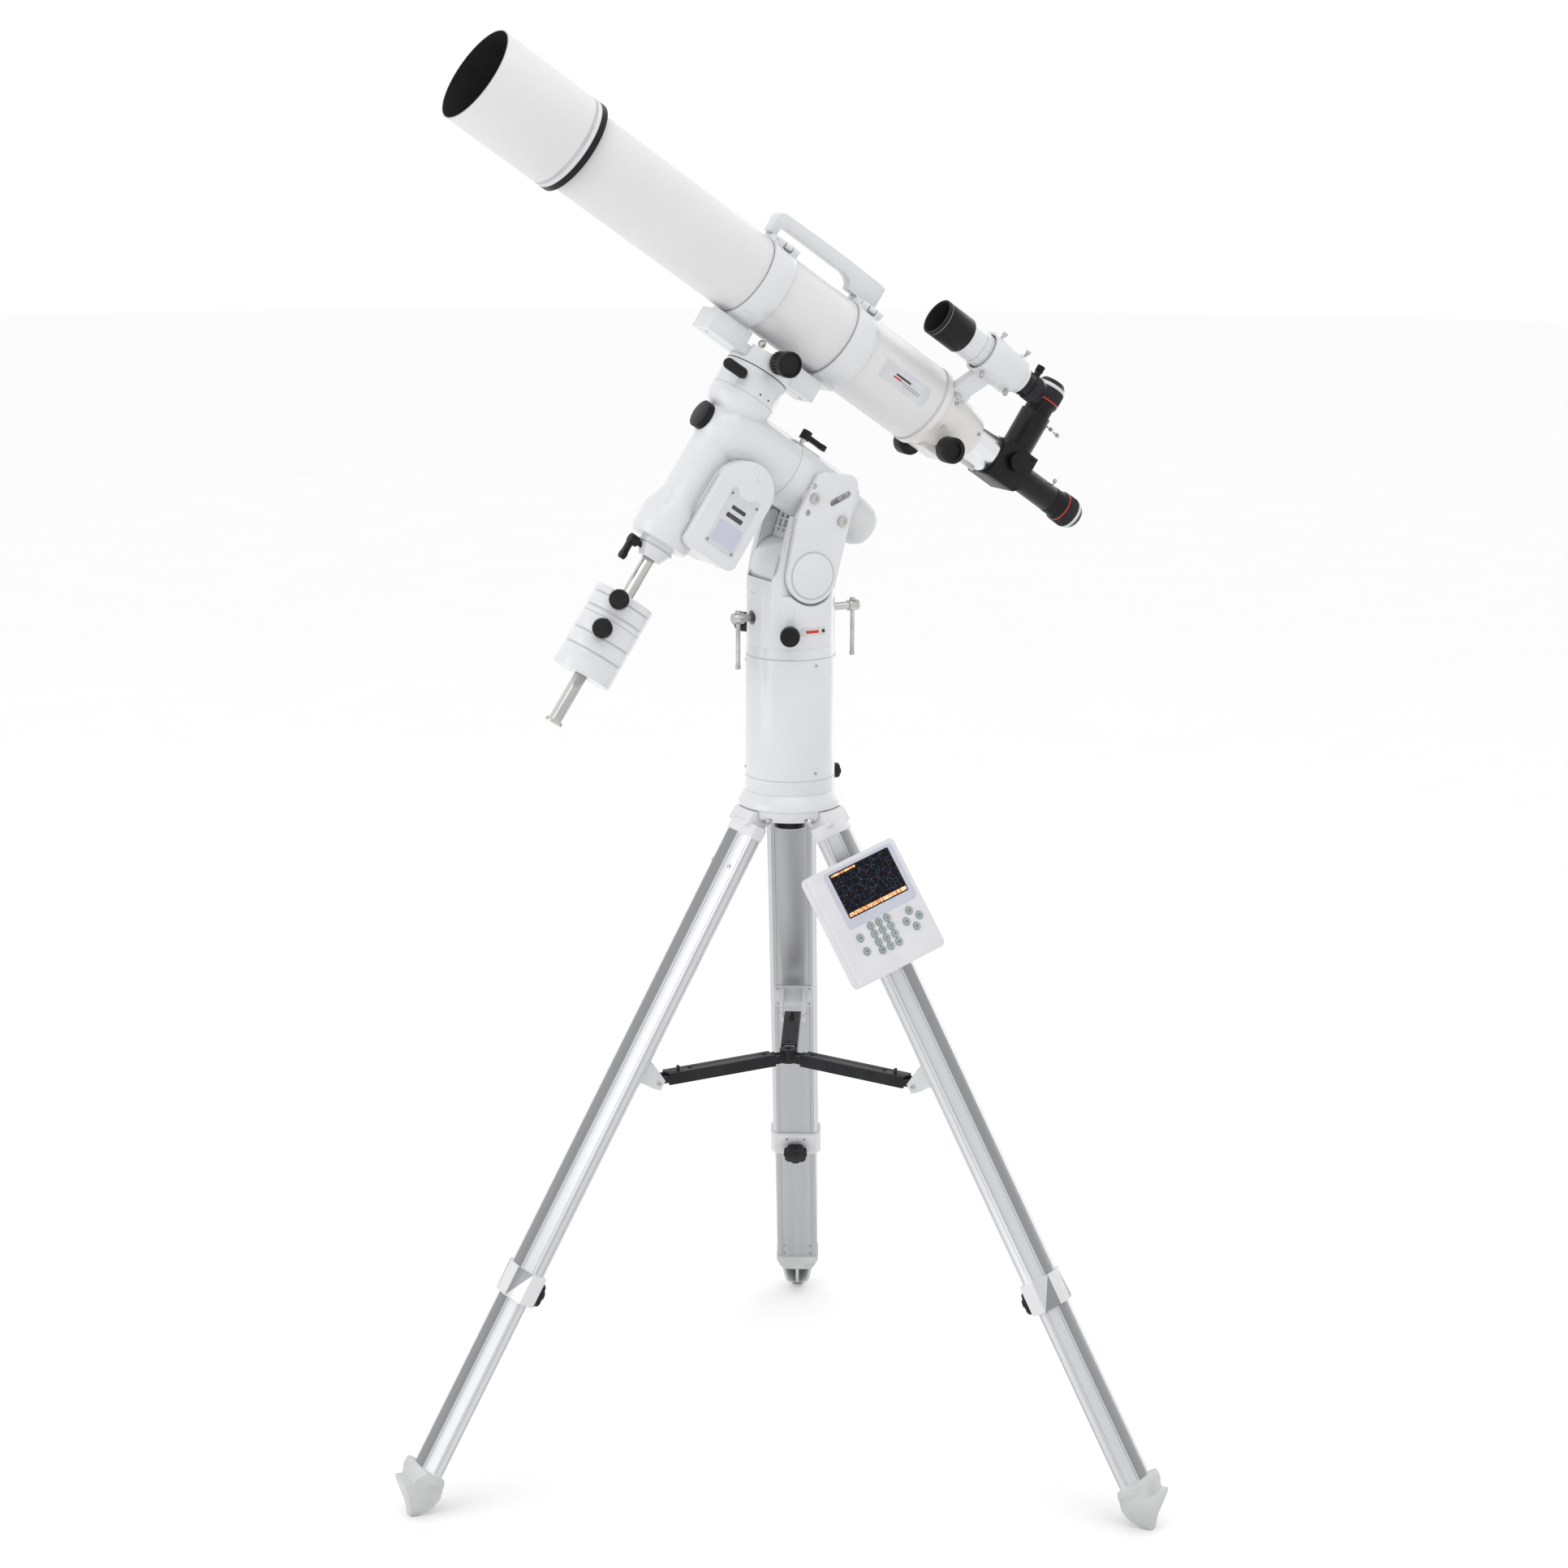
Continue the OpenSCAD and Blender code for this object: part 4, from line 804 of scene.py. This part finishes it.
# lines of painted shadow in the finder's hood and barrel seams
band("finder_hood_line", 29, -186, -185, FINDER, "optical_tube", seam_shadow_and_print_grey, 0.05)
band("finder_barrel_seam", 27, -262, -261.3, FINDER, "optical_tube", seam_shadow_and_print_grey, 0.05)
lathe("finder_front_glass", [(0, -233.5), (25.8, -232), (25.8, -231), (0, -230)], FINDER,
      "optical_tube", lens)
grip("finder_eyepiece_grip", 20.6, -391, -377, FINDER, "optical_tube", rubber_black, 40, 0.7)
grip("illuminator_knob", 6.4, 27, 37, FINDER @ move(0, 0, -381) @ ALONG_X, "optical_tube",
     knob_black, 20, 0.6)
# camera port and eyepieces
for name, place in (("straight", TUBE), ("upright", UPRIGHT)):
    band(f"eyepiece_{name}_red", 24.3, -577, -574.5, place, "drawtube", red_anodise, 0.35)
    grip(f"eyepiece_{name}_grip", 24.9, -595, -578, place, "drawtube", rubber_black, 60, 0.5, 0.12)
    lathe(f"eyepiece_{name}_ring",
          [(20, -602.5), (22.9, -602.5), (24.3, -598), (24.3, -596), (20, -596)], place, "drawtube",
          plate_silver)
    lathe(f"eyepiece_{name}_glass", [(0, -605), (9.6, -604.4), (9.6, -603.6), (0, -603)], place,
          "drawtube", lens)
for name, spot in (("box", move(84, -21, -487) @ turn(180, "Y")),
                   ("straight", move(20, -3, -544) @ ALONG_X),
                   ("upright", move(88, -10, -478) @ turn(180, "Y"))):
    lathe(f"port_lock_{name}", [(0, 0), (1.6, 0), (1.6, 5), (3.3, 5.6), (3.3, 10), (2.7, 10.8),
                                (0, 10.8)],
          TUBE @ spot, "drawtube", steel, 24)
screws("box_screws", [TUBE @ move(x, -32, z) @ AGAINST_Y for x in (-26, 26) for z in (-424, -471)],
       1.8, "drawtube", satin_black)
grip("mirror_knob_grip", 14.7, 33.5, 40.6, TUBE @ move(10, 0, -447) @ AGAINST_Y, "flip_mirror",
     knob_black, 30, 0.8)

# ---------------------------------------------------------------- controller details
slab("controller_bezel", round_outline(132, 92, 7, 8, 38.5), -0.05, 0.35, CONTROLLER, "controller",
     bezel, 0.15)
slab("controller_glass_frame", round_outline(114.4, 72.4, 2.5, SCREEN_X, SCREEN_Y), 0.3, 0.5,
     CONTROLLER, "controller",
     satin_black, 0.1)
screen = slab("star_display", round_outline(111, 69, 1.5, SCREEN_X, SCREEN_Y), 0.45, 0.65,
              CONTROLLER, "controller",
              star_chart)
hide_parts("controller_screen")
slab("display_menu_bar", round_outline(110, 5.6, 0.4, SCREEN_X, SCREEN_Y - 31.2), 0.6, 0.75,
     CONTROLLER, "controller", orange_bar)
slab("display_title_bar", round_outline(46, 3.2, 0.3, SCREEN_X - 31.5, SCREEN_Y + 32.4), 0.6, 0.75,
     CONTROLLER, "controller", orange_bar)
# a line of painted shadow in the controller case's side seam
box("controller_side_seam", (-81.06, -84, -14.25), (81.06, 84, -13.95), CONTROLLER, "controller",
    seam_shadow_and_print_grey)
numbers = ("1", "2", "3", "4", "5", "6", "7", "8", "9", "", "0", "")
for k, text in enumerate(numbers):
    x, y = -22.4 + 15.8 * (k % 3), -14.9 - 13.35 * (k // 3)
    spot = CONTROLLER @ move(x, y, KEY_TOP)
    if text:
        glyph(f"key_numeral_{text}", text, 5.2, spot, "number_keys", ink_dark)
    else:
        slab(f"key_dash_{k + 1}", round_outline(5.5, 1.4, 0.5), -0.1, 0.08, spot, "number_keys",
             ink_dark)
arrow = [(-1.7, -1.3), (1.7, -1.3), (0, 1.8)]
cross_x, cross_y, zoom_x = 49.2, -33.2, -47.6
for k, (x, y, a) in enumerate(((cross_x + 12.5, cross_y, -90), (cross_x, cross_y + 13, 0),
                               (cross_x - 12.5, cross_y, 90), (cross_x, cross_y - 13, 180),
                               (zoom_x, -24.4, 0), (zoom_x, -46.4, 180))):
    slab(f"key_arrow_{k + 1}", arrow, -0.1, 0.08, CONTROLLER @ move(x, y, KEY_TOP) @ turn(a, "Z"),
         "navigation_keys", ink_dark)

# ---------------------------------------------------------------- studio


def stage_floor():
    bm = bmesh.new()
    rings, radius = 24, 24.0
    previous = None
    for k in range(rings + 1):
        r = radius * (k / rings) ** 1.5
        ring = [bm.verts.new((r * math.cos(2 * math.pi * j / 64),
                              r * math.sin(2 * math.pi * j / 64), 0))
                for j in range(64)] if k else [bm.verts.new((0, 0, 0))]
        if previous:
            for j in range(64):
                m = (j + 1) % 64
                bm.faces.new(list(dict.fromkeys([previous[j % len(previous)],
                                                 previous[m % len(previous)],
                                                 ring[m], ring[j]])))
        previous = ring
    mesh = bpy.data.meshes.new("floor")
    bm.to_mesh(mesh)
    bm.free()
    mesh.materials.append(finish("floor_paper", (0.94, 0.94, 0.94), (0.93, 0.93, 0.93), (0.8, 0.9),
                                 3, 0.00001, 400))
    floor = bpy.data.objects.new("floor", mesh)
    bpy.context.scene.collection.objects.link(floor)
    floor.location.z = -0.0006
    floor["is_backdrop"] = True


def softbox(name, place, aim, size, radiance):
    data = bpy.data.lights.new(name, "AREA")
    data.shape = "RECTANGLE"
    data.size, data.size_y = size
    data.energy = radiance * math.pi * size[0] * size[1]
    light = bpy.data.objects.new(name, data)
    light.location = place
    light.rotation_euler = (Vector(aim) - Vector(place)).to_track_quat("-Z", "Y").to_euler()
    light.visible_camera = False
    bpy.context.scene.collection.objects.link(light)
    light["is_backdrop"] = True


stage_floor()
softbox("left_softbox", (-4.2, 0.2, 1.9), (0, 0, 1.3), (2.6, 3.6), 0.9)
softbox("right_softbox", (3.4, 1.6, 1.7), (0, 0, 1.2), (2.2, 3.4), 0.6)
softbox("top_softbox", (-0.4, -0.8, 4.6), (0, 0, 1.0), (3.4, 3.4), 0.8)
world = bpy.data.worlds.new("studio")
world.use_nodes = True
background = world.node_tree.nodes["Background"]
background.inputs["Color"].default_value = (1, 1, 1, 1)
background.inputs["Strength"].default_value = WORLD_STRENGTH
scene = bpy.context.scene
scene.world = world
scene.view_settings.view_transform = "Standard"
scene.view_settings.exposure = EXPOSURE

# ---------------------------------------------------------------- camera
camera_data = bpy.data.cameras.new("camera")
camera_data.lens = LENS_MM
camera_data.sensor_width = 36
camera_data.shift_x, camera_data.shift_y = CAMERA_SHIFT
camera_data.clip_end = 200
camera = bpy.data.objects.new("camera", camera_data)
scene.collection.objects.link(camera)
camera.location = CAMERA_PLACE
aim = Vector(CAMERA_AIM) - camera.location
roll = Matrix.Rotation(math.radians(CAMERA_ROLL), 3, "Z")
camera.rotation_euler = (aim.to_track_quat("-Z", "Y").to_matrix() @ roll).to_euler()
scene.camera = camera

low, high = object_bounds()
